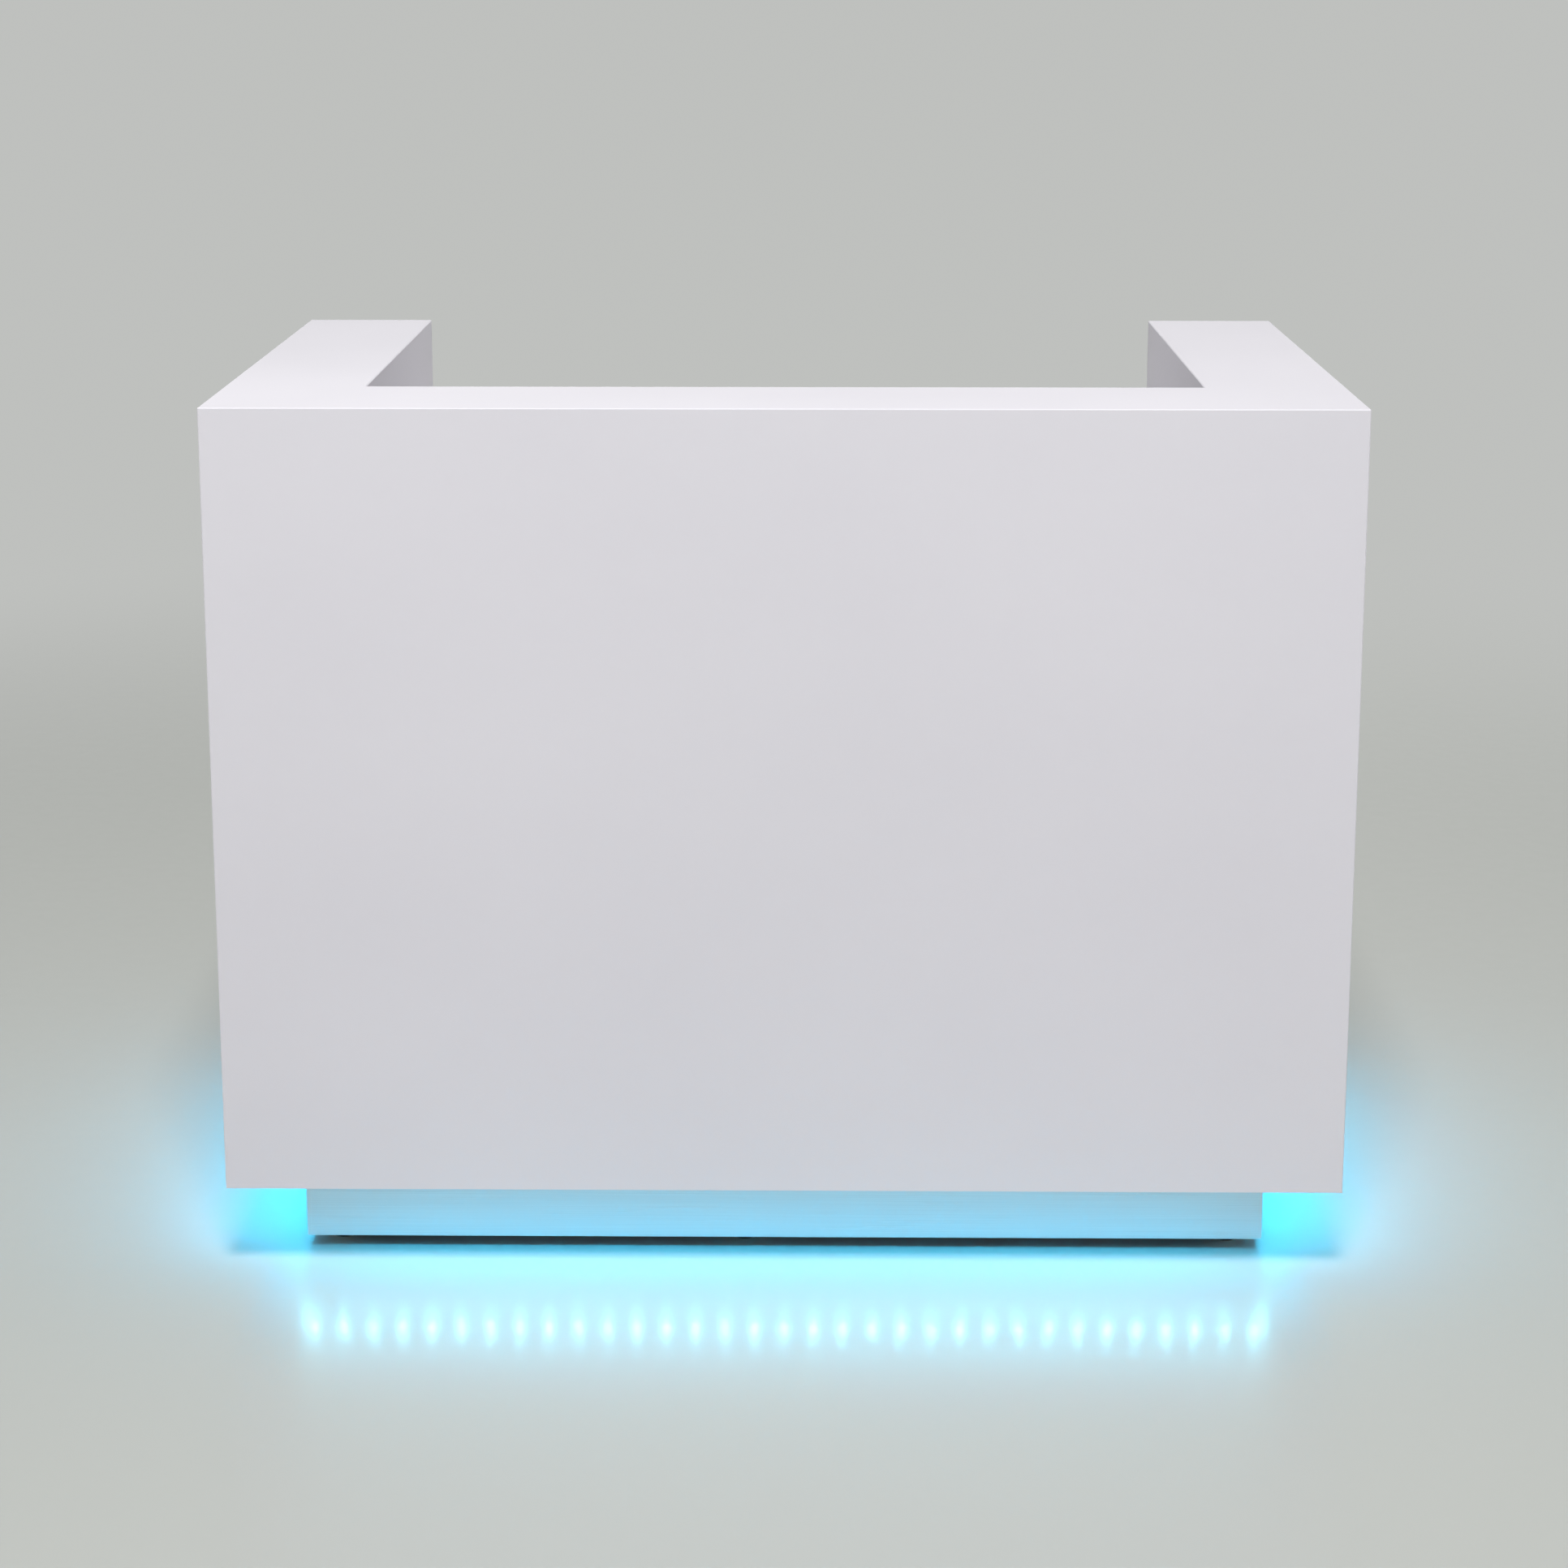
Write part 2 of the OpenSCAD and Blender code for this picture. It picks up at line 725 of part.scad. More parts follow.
// The flanged bush that a mains lead enters the front wall through.
module cable_entry_bush() {
    outer = bush_r + bush_wall;
    flange_h = 2;
    color("dimgray") difference() {
        facing_y(bush_x, y_in - board_t, bush_z)
            headed(outer, board_t, outer + bush_flange, flange_h);
        bar_y(bush_x, bush_z, y_in - board_t - past, y_in + flange_h + past, bush_r);
    }
}

// The worktop between the walls, bored and rebated for its two grommets.
module work_top() {
    side_gap = 0.5;
    color("white") difference() {
        eased_board([-x_in + side_gap, y_in + side_gap, z_under],
                    [x_in - side_gap, y_edge, worktop_h]);
        for (x = [-x_grommet, x_grommet]) translate([x, y_grommet, 0]) {
            translate([0, 0, z_under - past])
                cylinder(h = worktop_t + 2 * past, r = hole_r);
            translate([0, 0, worktop_h - flange_t])
                cylinder(h = flange_t + past, r = flange_r + fit_gap / 2);
        }
    }
}

// The battens that carry the worktop on the front and side walls.
module worktop_battens() {
    stop_back = 30;
    color("burlywood") {
        block([-x_in, y_in, z_under - batten_h],
              [-x_in + batten_w, y_edge - stop_back, z_under]);
        block([x_in - batten_w, y_in, z_under - batten_h],
              [x_in, y_ped_back - fit_gap, z_under]);
        block([-x_in + batten_w + fit_gap, y_in, z_under - batten_h],
              [x_in - batten_w - fit_gap, y_in + batten_w, z_under]);
    }
}

// A grommet's sleeve, whose flange is let in flush and holds a seat for the cap.
module grommet_sleeve(x) {
    color("gray") translate([x, y_grommet, z_under]) difference() {
        headed(sleeve_r + sleeve_wall, worktop_t - flange_t, flange_r, flange_t);
        translate([0, 0, -past]) cylinder(h = worktop_t + 2 * past, r = sleeve_r);
        translate([0, 0, worktop_t - cap_t]) cylinder(h = cap_t + past, r = seat_r);
    }
}

// A grommet's cap: a plate with a centring skirt, cut by a slot that cables pass through.
module grommet_cap(x) {
    skirt_wall = 1.6;
    skirt_r = sleeve_r - cap_gap;
    lift = 0.1; // running gap between the plate and its seat
    color("gray") translate([x, y_grommet, worktop_h]) difference() {
        union() {
            translate([0, 0, -cap_t + lift]) cylinder(h = cap_t - lift, r = seat_r - cap_gap);
            translate([0, 0, -cap_t - skirt_h]) cylinder(h = skirt_h + cap_t / 2, r = skirt_r);
        }
        translate([0, 0, -cap_t - skirt_h - past])
            cylinder(h = skirt_h + past, r = skirt_r - skirt_wall);
        translate([-slot_w / 2, -flange_r, -cap_t - skirt_h - past])
            cube([slot_w, flange_r - slot_in, skirt_h + cap_t + 2 * past]);
    }
}

module left_grommet_sleeve() grommet_sleeve(-x_grommet);
module left_grommet_cap() grommet_cap(-x_grommet);
module right_grommet_sleeve() grommet_sleeve(x_grommet);
module right_grommet_cap() grommet_cap(x_grommet);

// A pedestal side, a full-height board.
module pedestal_side(x0) {
    color("white") block([x0, y_ped_back, ped_z0], [x0 + ped_t, y_carcass, ped_z1]);
}

module pedestal_left_side() pedestal_side(ped_x0);
module pedestal_right_side() pedestal_side(ped_x1 - ped_t);

// The pedestal's top, screwed up under the worktop, with the slot that the lock's cam turns into.
module pedestal_top() {
    slot_deep = lock_at[1] + cam_len + catch_gap / 2 - (ped_z1 - ped_t);
    color("white") difference() {
        block([ped_x0 + ped_t, y_ped_back, ped_z1 - ped_t],
              [ped_x1 - ped_t, y_carcass, ped_z1]);
        block([lock_at[0] - cam_len - catch_gap, y_cam - catch_gap, ped_z1 - ped_t - past],
              [lock_at[0] + cam_w / 2 + catch_gap, y_cam + cam_t + catch_gap,
               ped_z1 - ped_t + slot_deep]);
    }
}

module pedestal_bottom() {
    color("white") block([ped_x0 + ped_t, y_ped_back, ped_z0],
                         [ped_x1 - ped_t, y_carcass, ped_z0 + ped_t]);
}

module pedestal_back() {
    color("white") block([ped_x0 + ped_t, y_ped_back, ped_z0 + ped_t],
                         [ped_x1 - ped_t, y_ped_back + back_t, ped_z1 - ped_t]);
}

// Places a left runner's section (u, v) at height z on both inner sides of the pedestal.
module runner_pair(z) {
    translate([ped_x0 + ped_t, 0, z]) children();
    translate([ped_x1 - ped_t, 0, z]) mirror([1, 0, 0]) children();
}

// A quarter bend of a rolled section, round (u, v), at the inner radius plus t.
function bend(u, v, t, a0, a1) = arc([u, v], bend_r + t, a0, a1, 3);

// A channel rolled from strip of thickness t: a web at u, and flanges that reach u1 at half
// height v.
function channel(u, u1, v, t) = let (a = u + t + bend_r, b = v - t - bend_r) concat(
    [[u1, -v], [u1, -v + t]], bend(a, -b, 0, 270, 180), bend(a, b, 0, 180, 90),
    [[u1, v - t], [u1, v]], bend(a, b, t, 90, 180), bend(a, -b, t, 180, 270)
);

// A channel from u = 0 whose flanges turn in at u1 to lips of height h.
function lipped_channel(u1, v, t, h) =
    let (a = t + bend_r, b = v - t - bend_r, c = u1 - t - bend_r) concat(
        [[u1, h - v], [u1 - t, h - v]], bend(c, -b, 0, 360, 270), bend(a, -b, 0, 270, 180),
        bend(a, b, 0, 180, 90), bend(c, b, 0, 90, 0), [[u1 - t, v - h], [u1, v - h]],
        bend(c, b, t, 0, 90), bend(a, b, t, 90, 180), bend(a, -b, t, 180, 270),
        bend(c, -b, t, 270, 360)
    );

// A row of fixing holes along a member's web.
module fixing_holes(u) {
    screw_hole_r = 2.2;
    step = (runner_len - 2 * hole_end) / (hole_count - 1);
    for (i = [0 : hole_count - 1])
        bar_x(y_runner + hole_end + i * step, 0, u - past, u + steel_t + past, screw_hole_r);
}

// The rolled channel that is screwed to the carcass. Its lips keep the balls in, and a buffer at
// its back end stops the other two members.
module cabinet_member() {
    y0 = y_runner - buffer_t;
    difference() {
        along_y(y0, y_runner + runner_len)
            polygon(lipped_channel(outer_flange, outer_v, steel_t, lip));
        fixing_holes(0);
    }
    block([steel_t, y0, -middle_v], [outer_flange, y_runner - run_gap, middle_v]);
}

module runner_cabinet_members() {
    color("lightsteelblue") {
        runner_pair(upper_runner_z) cabinet_member();
        runner_pair(lower_runner_z) cabinet_member();
    }
}

// The middle channel, which carries a ball race on both faces of its flanges.
module middle_members(z) {
    color("lightsteelblue") runner_pair(z) difference() {
        along_y(y_runner, y_runner + runner_len)
            polygon(channel(middle_u, middle_u + middle_flange, middle_v, steel_t));
        fixing_holes(middle_u);
    }
}

// The channel that is screwed to the drawer, open towards the carcass.
module drawer_members(z) {
    back = runner_w;
    color("lightsteelblue") runner_pair(z) difference() {
        along_y(y_runner, y_runner + runner_len)
            polygon([for (p = channel(0, inner_flange, inner_v, steel_t)) [back - p[0], p[1]]]);
        fixing_holes(back - steel_t);
    }
}

// A ball cage: a thin channel with a row of balls in each flange.
module ball_cage(u, u1, ball_u, ball_v) {
    y0 = y_runner + cage_back;
    step = cage_len / ball_count;
    strip_v = ball_v + cage_t / 2;
    hole_r = ball_r + cage_hole;
    difference() {
        along_y(y0, y0 + cage_len) polygon(channel(u, u1, strip_v, cage_t));
        for (s = [-1, 1], i = [0 : ball_count - 1])
            translate([ball_u, y0 + (i + 0.5) * step, s * ball_v - cage_t])
                cylinder(h = 2 * cage_t, r = hole_r);
    }
    for (s = [-1, 1], i = [0 : ball_count - 1])
        translate([ball_u, y0 + (i + 0.5) * step, s * ball_v]) sphere(r = ball_r);
}

module outer_cages(z) {
    color("gainsboro") runner_pair(z)
        ball_cage(outer_cage_u, outer_flange - steel_t - run_gap,
                  outer_ball_u, middle_v + race / 2);
}

module inner_cages(z) {
    color("gainsboro") runner_pair(z)
        ball_cage(inner_cage_u, middle_u + middle_flange - run_gap,
                  inner_ball_u, inner_v + race / 2);
}

module upper_middle_members() middle_members(upper_runner_z);
module lower_middle_members() middle_members(lower_runner_z);
module upper_drawer_members() drawer_members(upper_runner_z);
module lower_drawer_members() drawer_members(lower_runner_z);
module upper_outer_cages() outer_cages(upper_runner_z);
module lower_outer_cages() outer_cages(lower_runner_z);
module upper_inner_cages() inner_cages(upper_runner_z);
module lower_inner_cages() inner_cages(lower_runner_z);

// A drawer front over the carcass's edges.
module drawer_front(z0, h) {
    eased_board([ped_x0 + reveal, y_carcass, z0], [ped_x0 + reveal + front_w, y_face, z0 + h]);
}

// The upper front, bored for the lock.
module upper_drawer_front() {
    color("white") difference() {
        drawer_front(upper_front_z, upper_front_h);
        bar_y(lock_at[0], lock_at[1], y_carcass - past, y_face + past, lock_r);
    }
}

module lower_drawer_front() {
    color("white") drawer_front(lower_front_z, lower_front_h);
}

// A drawer box of five boards: two grooved sides, a front and a back between them, and a bottom.
module drawer_box(z0, h) {
    x0 = ped_mid - box_w / 2;
    x1 = ped_mid + box_w / 2;
    z_bottom = z0 + bottom_lift;
    play = fit_gap / 2;
    color("white") {
        difference() {
            for (x = [x0, x1 - box_t])
                block([x, y_box, z0], [x + box_t, y_carcass, z0 + h]);
            block([x0 + box_t - groove_in, y_box - past, z_bottom - play],
                  [x1 - box_t + groove_in, y_carcass - box_t + groove_in,
                   z_bottom + bottom_t + play]);
        }
        difference() {
            block([x0 + box_t + fit_gap, y_carcass - box_t, z0],
                  [x1 - box_t - fit_gap, y_carcass, z0 + h]);
            block([x0, y_carcass - box_t - past, z_bottom - play],
                  [x1, y_carcass - box_t + groove_in, z_bottom + bottom_t + play]);
        }
        block([x0 + box_t + fit_gap, y_box, z_bottom + bottom_t + play],
              [x1 - box_t - fit_gap, y_box + box_t, z0 + h]);
        block([x0 + box_t - groove_in + play, y_box, z_bottom],
              [x1 - box_t + groove_in - play, y_carcass - box_t + groove_in - play,
               z_bottom + bottom_t]);
    }
}

module upper_drawer_box() drawer_box(upper_box_z, upper_box_h);
module lower_drawer_box() drawer_box(lower_box_z, lower_box_h);

// The two rails on the lower box's sides that hanging files slide on.
module hanging_file_rails() {
    z0 = lower_box_z + lower_box_h;
    inset = 15;
    color("silver") for (s = [-1, 1]) {
        x = ped_mid + s * (box_w / 2 - box_t / 2);
        block([x - rail_t / 2, y_box + inset, z0],
              [x + rail_t / 2, y_carcass - inset, z0 + rail_h]);
    }
}

// A bar handle in the middle of a drawer front. The bar's ends are domed, and its two posts flare
// where they meet the front.
module drawer_handle(z) {
    flare = 1.5;
    color("silver") {
        translate([ped_mid - handle_len / 2, y_face + handle_reach, z]) rotate([0, 90, 0])
            rotate_extrude() polygon(concat(
                arc([0, handle_r], handle_r, -90, 0),
                arc([0, handle_len - handle_r], handle_r, 0, 90)
            ));
        for (s = [-1, 1]) facing_y(ped_mid + s * handle_posts / 2, y_face, z)
            rotate_extrude() polygon(concat(
                [[0, 0]], arc([post_r + flare, flare], flare, 270, 180),
                [[post_r, handle_reach], [0, handle_reach]]
            ));
    }
}

module upper_drawer_handle() drawer_handle(upper_front_z + upper_front_h / 2);
module lower_drawer_handle() drawer_handle(lower_front_z + lower_front_h - upper_front_h / 2);

// The lock's housing, with a rounded rim on the drawer front and a tail behind it.
module lock_housing() {
    tail_end = y_carcass - lock_tail;
    color("silver") difference() {
        facing_y(lock_at[0], tail_end, lock_at[1])
            headed(lock_r, y_face - tail_end, lock_r + rim_w, rim_t);
        bar_y(lock_at[0], lock_at[1], tail_end - past, y_face + rim_t + past,
              barrel_r + thread_gap);
    }
}

// The barrel that the key turns, with its keyway and the round-ended cam on its inner end.
module lock_barrel() {
    x = lock_at[0];
    z = lock_at[1];
    proud = 0.6;
    cam_r = cam_w / 2;
    color("gainsboro") difference() {
        union() {
            bar_y(x, z, y_cam, y_face + rim_t + proud, barrel_r);
            along_y(y_cam, y_cam + cam_t) polygon(concat(
                [[x, z - cam_r], [x, z + cam_r]], arc([x - cam_len + cam_r, z], cam_r, 90, 270, 12)
            ));
        }
        block([x - key_h / 2, y_face + rim_t + proud - key_deep, z - key_w / 2],
              [x + key_h / 2, y_face + rim_t + proud + past, z + key_w / 2]);
    }
}

front_panel();
left_side_panel();
right_side_panel();
counter_top();
front_inner_panel();
left_inner_panel();
right_inner_panel();
left_end_panel();
right_end_panel();
front_bottom_board();
left_bottom_board();
right_bottom_board();
wall_ribs();
front_kick_board();
left_kick_board();
right_kick_board();
rear_kick_boards();
inner_plinth_rails();
leveller_blocks();
leveller_inserts();
leveller_front_left();
leveller_front_middle();
leveller_front_right();
leveller_rear_left();
leveller_rear_right();
front_light_tape();
side_light_tapes();
light_driver();
light_controller();
light_leads();
cable_entry_bush();
work_top();
worktop_battens();
left_grommet_sleeve();
left_grommet_cap();
right_grommet_sleeve();
right_grommet_cap();
pedestal_left_side();
pedestal_right_side();
pedestal_top();
pedestal_bottom();
pedestal_back();
runner_cabinet_members();
upper_drawer_front();
upper_drawer_box();
upper_drawer_handle();
upper_drawer_members();
upper_middle_members();
upper_outer_cages();
upper_inner_cages();
lower_drawer_front();
lower_drawer_box();
lower_drawer_handle();
lower_drawer_members();
lower_middle_members();
lower_outer_cages();
lower_inner_cages();
hanging_file_rails();
lock_housing();
lock_barrel();
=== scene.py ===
import math

import bmesh
import bpy
import numpy as np
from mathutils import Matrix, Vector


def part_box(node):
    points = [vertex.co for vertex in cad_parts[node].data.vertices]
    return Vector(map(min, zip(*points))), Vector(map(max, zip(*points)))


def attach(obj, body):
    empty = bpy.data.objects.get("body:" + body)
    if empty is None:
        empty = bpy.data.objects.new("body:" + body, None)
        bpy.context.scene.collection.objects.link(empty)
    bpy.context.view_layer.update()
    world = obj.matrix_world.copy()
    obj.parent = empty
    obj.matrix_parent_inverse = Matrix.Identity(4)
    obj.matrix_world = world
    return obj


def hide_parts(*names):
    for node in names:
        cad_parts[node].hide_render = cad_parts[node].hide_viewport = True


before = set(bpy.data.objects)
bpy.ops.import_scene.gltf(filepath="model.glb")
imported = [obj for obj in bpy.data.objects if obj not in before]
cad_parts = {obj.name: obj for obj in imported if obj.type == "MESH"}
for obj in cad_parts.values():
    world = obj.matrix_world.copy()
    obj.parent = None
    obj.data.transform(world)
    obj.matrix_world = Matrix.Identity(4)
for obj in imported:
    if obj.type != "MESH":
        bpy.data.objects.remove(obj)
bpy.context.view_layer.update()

# The camera stands where the visitor stands, a little right of the middle and at head height. Its
# lens is shifted down a little, which leaves it less to tilt, and so the walls lean less.
camera_data = bpy.data.cameras.new("camera")
camera_data.lens = 72.1
camera_data.shift_y = -0.14
camera = bpy.data.objects.new("camera", camera_data)
camera.location = (0.035, -3.634, 1.461)
camera.rotation_euler = (math.radians(90 - 11.42), 0, math.radians(0.6))
bpy.context.collection.objects.link(camera)
bpy.context.scene.camera = camera

# The wall boards: 18 mm chipboard faced on both sides with matt white laminate, mitred along every
# outer edge so that no core shows, glued, and eased by hand to a fine bevel. The laminate has a
# faint eggshell grain and the soft marks of being wiped down.


def new_finish(name, color, roughness, metallic=0.0):
    """A material of one plain shader. Returns the material, its node tree and its shader."""
    finish = bpy.data.materials.new(name)
    finish.use_nodes = True
    shader = finish.node_tree.nodes["Principled BSDF"]
    shader.inputs["Base Color"].default_value = (*color, 1)
    shader.inputs["Roughness"].default_value = roughness
    shader.inputs["Metallic"].default_value = metallic
    return finish, finish.node_tree, shader


def grain(tree, stretch, detail=3.0, roughness=0.5):
    """A noise on Object coordinates, stretch cells per metre along each axis. Returns its output."""
    place = tree.nodes.new("ShaderNodeTexCoord")
    scaled = tree.nodes.new("ShaderNodeMapping")
    scaled.inputs["Scale"].default_value = stretch
    noise = tree.nodes.new("ShaderNodeTexNoise")
    noise.inputs["Scale"].default_value = 1.0
    noise.inputs["Detail"].default_value = detail
    noise.inputs["Roughness"].default_value = roughness
    tree.links.new(place.outputs["Object"], scaled.inputs["Vector"])
    tree.links.new(scaled.outputs["Vector"], noise.inputs["Vector"])
    return noise.outputs["Fac"]


def tint(tree, shader, pattern, low, high, low_at=0.35, high_at=0.65):
    """Drives the shader's colour from low to high as a pattern rises from low_at to high_at."""
    ramp = tree.nodes.new("ShaderNodeValToRGB")
    ramp.color_ramp.elements[0].color = (*low, 1)
    ramp.color_ramp.elements[0].position = low_at
    ramp.color_ramp.elements[1].color = (*high, 1)
    ramp.color_ramp.elements[1].position = high_at
    tree.links.new(pattern, ramp.inputs["Fac"])
    tree.links.new(ramp.outputs["Color"], shader.inputs["Base Color"])


def vary_gloss(tree, shader, pattern, low, high):
    """Drives the shader's roughness from low to high as a pattern rises from 0.3 to 0.7."""
    spread = tree.nodes.new("ShaderNodeMapRange")
    spread.inputs["From Min"].default_value = 0.3
    spread.inputs["From Max"].default_value = 0.7
    spread.inputs["To Min"].default_value = low
    spread.inputs["To Max"].default_value = high
    tree.links.new(pattern, spread.inputs["Value"])
    tree.links.new(spread.outputs["Result"], shader.inputs["Roughness"])


def emboss(tree, shader, pattern, height):
    """Raises the surface by a pattern, height metres from its lowest to its highest."""
    bump = tree.nodes.new("ShaderNodeBump")
    bump.inputs["Distance"].default_value = height
    tree.links.new(pattern, bump.inputs["Height"])
    tree.links.new(bump.outputs["Normal"], shader.inputs["Normal"])


def face_with(finish, *nodes):
    """Puts one finish on every slot of the CAD nodes named."""
    for node in nodes:
        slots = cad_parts[node].data.materials
        slots.clear()
        slots.append(finish)


laminate, laminate_tree, laminate_shader = new_finish("white_laminate", (0.80, 0.776, 0.828), 0.42)
wiping = grain(laminate_tree, (2.2, 2.2, 3.1), detail=4)
tint(laminate_tree, laminate_shader, wiping, (0.788, 0.765, 0.819), (0.808, 0.785, 0.837))
vary_gloss(laminate_tree, laminate_shader, wiping, 0.38, 0.46)
emboss(laminate_tree, laminate_shader, grain(laminate_tree, (1400, 1400, 1400), detail=1), 0.00002)
face_with(laminate, "front_panel", "left_side_panel", "right_side_panel", "counter_top",
          "front_inner_panel", "left_inner_panel", "right_inner_panel", "left_end_panel",
          "right_end_panel")

# The walls' undersides are plain melamine-faced board, and the ribs inside them are bare
# chipboard strips, pressed from flakes of wood, which hold the two faces of a wall apart.
underside, underside_tree, underside_shader = new_finish("underside_melamine", (0.72, 0.72, 0.73), 0.55)
vary_gloss(underside_tree, underside_shader, grain(underside_tree, (5, 5, 5)), 0.5, 0.62)
face_with(underside, "front_bottom_board", "left_bottom_board", "right_bottom_board")

chipboard, chipboard_tree, chipboard_shader = new_finish("bare_chipboard", (0.62, 0.46, 0.29), 0.8)
flakes = grain(chipboard_tree, (260, 260, 420), detail=5, roughness=0.65)
tint(chipboard_tree, chipboard_shader, flakes, (0.42, 0.28, 0.15), (0.74, 0.58, 0.38))
emboss(chipboard_tree, chipboard_shader, flakes, 0.0004)
face_with(chipboard, "wall_ribs", "leveller_blocks")

# The plinth: boards faced with horizontally brushed aluminium sheet, mitred at the front corners, and
# black-faced rails on the staff side. It stands on levelling feet that leave a dark slot above the
# floor.
# Its colour is cyan, not aluminium grey: painted light, standing in for the tape's cyan glow on it.
brushed, brushed_tree, brushed_shader = new_finish("brushed_aluminium_painted_glow", (0.61, 0.76, 0.83), 0.3, 0.95)
strokes = grain(brushed_tree, (3.5, 3.5, 1700), detail=3, roughness=0.6)
tint(brushed_tree, brushed_shader, strokes, (0.58, 0.73, 0.80), (0.64, 0.79, 0.86))
vary_gloss(brushed_tree, brushed_shader, strokes, 0.27, 0.38)
emboss(brushed_tree, brushed_shader, strokes, 0.000012)
face_with(brushed, "front_kick_board", "left_kick_board", "right_kick_board", "rear_kick_boards")

black_board, black_tree, black_shader = new_finish("black_melamine", (0.03, 0.03, 0.033), 0.5)
vary_gloss(black_tree, black_shader, grain(black_tree, (9, 9, 9)), 0.42, 0.6)
face_with(black_board, "inner_plinth_rails")

# The levelling feet: a zinc-plated stud with a rolled thread, a hexagon to turn it by, and a domed
# steel pad on a rubber sole. Each stud runs in a brass insert that is pressed into a block.
SHARP_FROM = 30


def close_rows(grid, first, ring):
    """The faces of a grid of points whose columns wrap round. The end rows are closed by a flat
    face each or, in a ring, the last row is joined to the first. Points are numbered from first."""
    rows, columns = grid.shape[:2]
    number = np.arange(first, first + rows * columns).reshape(rows, columns)
    if ring:
        number = np.vstack([number, number[:1]])
    after = np.roll(number, -1, axis=1)
    quads = np.stack([number[:-1], after[:-1], after[1:], number[1:]], axis=-1).reshape(-1, 4)
    ends = [] if ring else [number[0, ::-1].tolist(), number[-1].tolist()]
    return quads.tolist() + ends


def make_piece(name, grids, finish, ring=False):
    """A piece made of closed grids, each rows by columns by 3. Points in one place become one, the
    faces are turned outwards, and those that meet below SHARP_FROM degrees are shaded as one."""
    faces, first = [], 0
    for grid in grids:
        faces += close_rows(grid, first, ring)
        first += grid.shape[0] * grid.shape[1]
    mesh = bpy.data.meshes.new(name)
    mesh.from_pydata(np.concatenate([grid.reshape(-1, 3) for grid in grids]), [], faces)
    merged = bmesh.new()
    merged.from_mesh(mesh)
    bmesh.ops.remove_doubles(merged, verts=merged.verts, dist=1e-7)
    bmesh.ops.recalc_face_normals(merged, faces=merged.faces)
    merged.to_mesh(mesh)
    merged.free()
    mesh.shade_smooth()
    mesh.set_sharp_from_angle(angle=math.radians(SHARP_FROM))
    mesh.materials.append(finish)
    piece = bpy.data.objects.new(name, mesh)
    bpy.context.collection.objects.link(piece)
    return piece


def fit(piece, body, slot, *nodes):
    """Makes a piece move with a body and stand for the nodes named. The slot is not used."""
    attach(piece, body)
    if nodes:
        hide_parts(*nodes)


def turned(profile, centre, axis="z", columns=40):
    """A turned surface: each (radius, height) of the profile goes once round the axis, at the
    centre plus radius times (cos t, sin t) across the axis and height along it."""
    radius, height = np.array(profile, float).T[:, :, None]
    t = np.linspace(0, 2 * np.pi, columns, endpoint=False)[None, :]
    across, up, along = radius * np.cos(t), radius * np.sin(t), height + 0 * t
    order = {"z": (across, up, along), "y": (up, along, across), "x": (along, across, up)}[axis]
    return np.stack(order, axis=-1) + np.array(centre)


def arc(centre, radius, start, stop, steps=5):
    """Points of a circular arc, as (radius, height) pairs, between two angles in degrees."""
    t = np.radians(np.linspace(start, stop, steps))
    return np.column_stack([centre[0] + radius * np.cos(t), centre[1] + radius * np.sin(t)]).tolist()


zinc, zinc_tree, zinc_shader = new_finish("zinc_plated_steel", (0.62, 0.63, 0.65), 0.34, 1.0)
plating = grain(zinc_tree, (160, 160, 160), detail=4)
tint(zinc_tree, zinc_shader, plating, (0.54, 0.55, 0.565), (0.70, 0.71, 0.73))
vary_gloss(zinc_tree, zinc_shader, plating, 0.26, 0.46)

sole_rubber, rubber_tree, rubber_shader = new_finish("sole_rubber", (0.035, 0.035, 0.037), 0.75)
emboss(rubber_tree, rubber_shader, grain(rubber_tree, (900, 900, 900), detail=2), 0.0001)

THREAD_PITCH = 0.0015
THREAD_DEPTH = 0.0009
THREAD_SIDES = 24
ROWS_PER_TURN = 6
STUD_R = 0.005
HEX_AF = 0.017
HEX_CONE = 30
HEX_SIDES = 72
HEX_TOP = 0.012
PAD_H = 0.005
PAD_EDGE = 0.0012
CROWN_AT = (0.0095, 0.0030)
CROWN_R = 0.0018
SOLE_T = 0.0015
SOLE_IN = 0.0006


def rolled_thread(centre, low, high):
    """A threaded stud: at angle t and height z the radius is the root's plus the thread's depth
    times a triangle wave of z / pitch - t / 2 pi. Both ends taper to the root over one pitch."""
    rows = int((high - low) / THREAD_PITCH * ROWS_PER_TURN)
    z = np.linspace(low, high, rows)[:, None]
    t = np.linspace(0, 2 * np.pi, THREAD_SIDES, endpoint=False)[None, :]
    wave = np.abs(2 * ((z / THREAD_PITCH - t / (2 * np.pi)) % 1) - 1)
    ends = np.clip(np.minimum(z - low, high - z) / THREAD_PITCH, 0, 1)
    r = STUD_R - THREAD_DEPTH + THREAD_DEPTH * wave * ends
    return np.stack([r * np.cos(t), r * np.sin(t), z + 0 * t], axis=-1) + np.array(centre)


def hexagon(centre, low, high):
    """A hexagon with turned corners: the radius at angle t is the smaller of the hexagon's own,
    which is half its width over the flats / cos of the angle from the nearest flat, and that of a
    cone of HEX_CONE degrees which starts at the flats' width on each end."""
    t = np.linspace(0, 2 * np.pi, HEX_SIDES, endpoint=False)[None, :]
    flat = HEX_AF / 2
    slope = math.tan(math.radians(HEX_CONE))
    corner = flat / np.cos((t + np.pi / 6) % (np.pi / 3) - np.pi / 6)
    depth = (flat / math.cos(math.pi / 6) - flat) * slope
    z = np.array([low, low + depth / 2, low + depth, high - depth, high - depth / 2, high])[:, None]
    r = np.minimum(corner, flat + np.minimum(z - low, high - z) / slope)
    return np.stack([r * np.cos(t), r * np.sin(t), z + 0 * t], axis=-1) + np.array(centre)


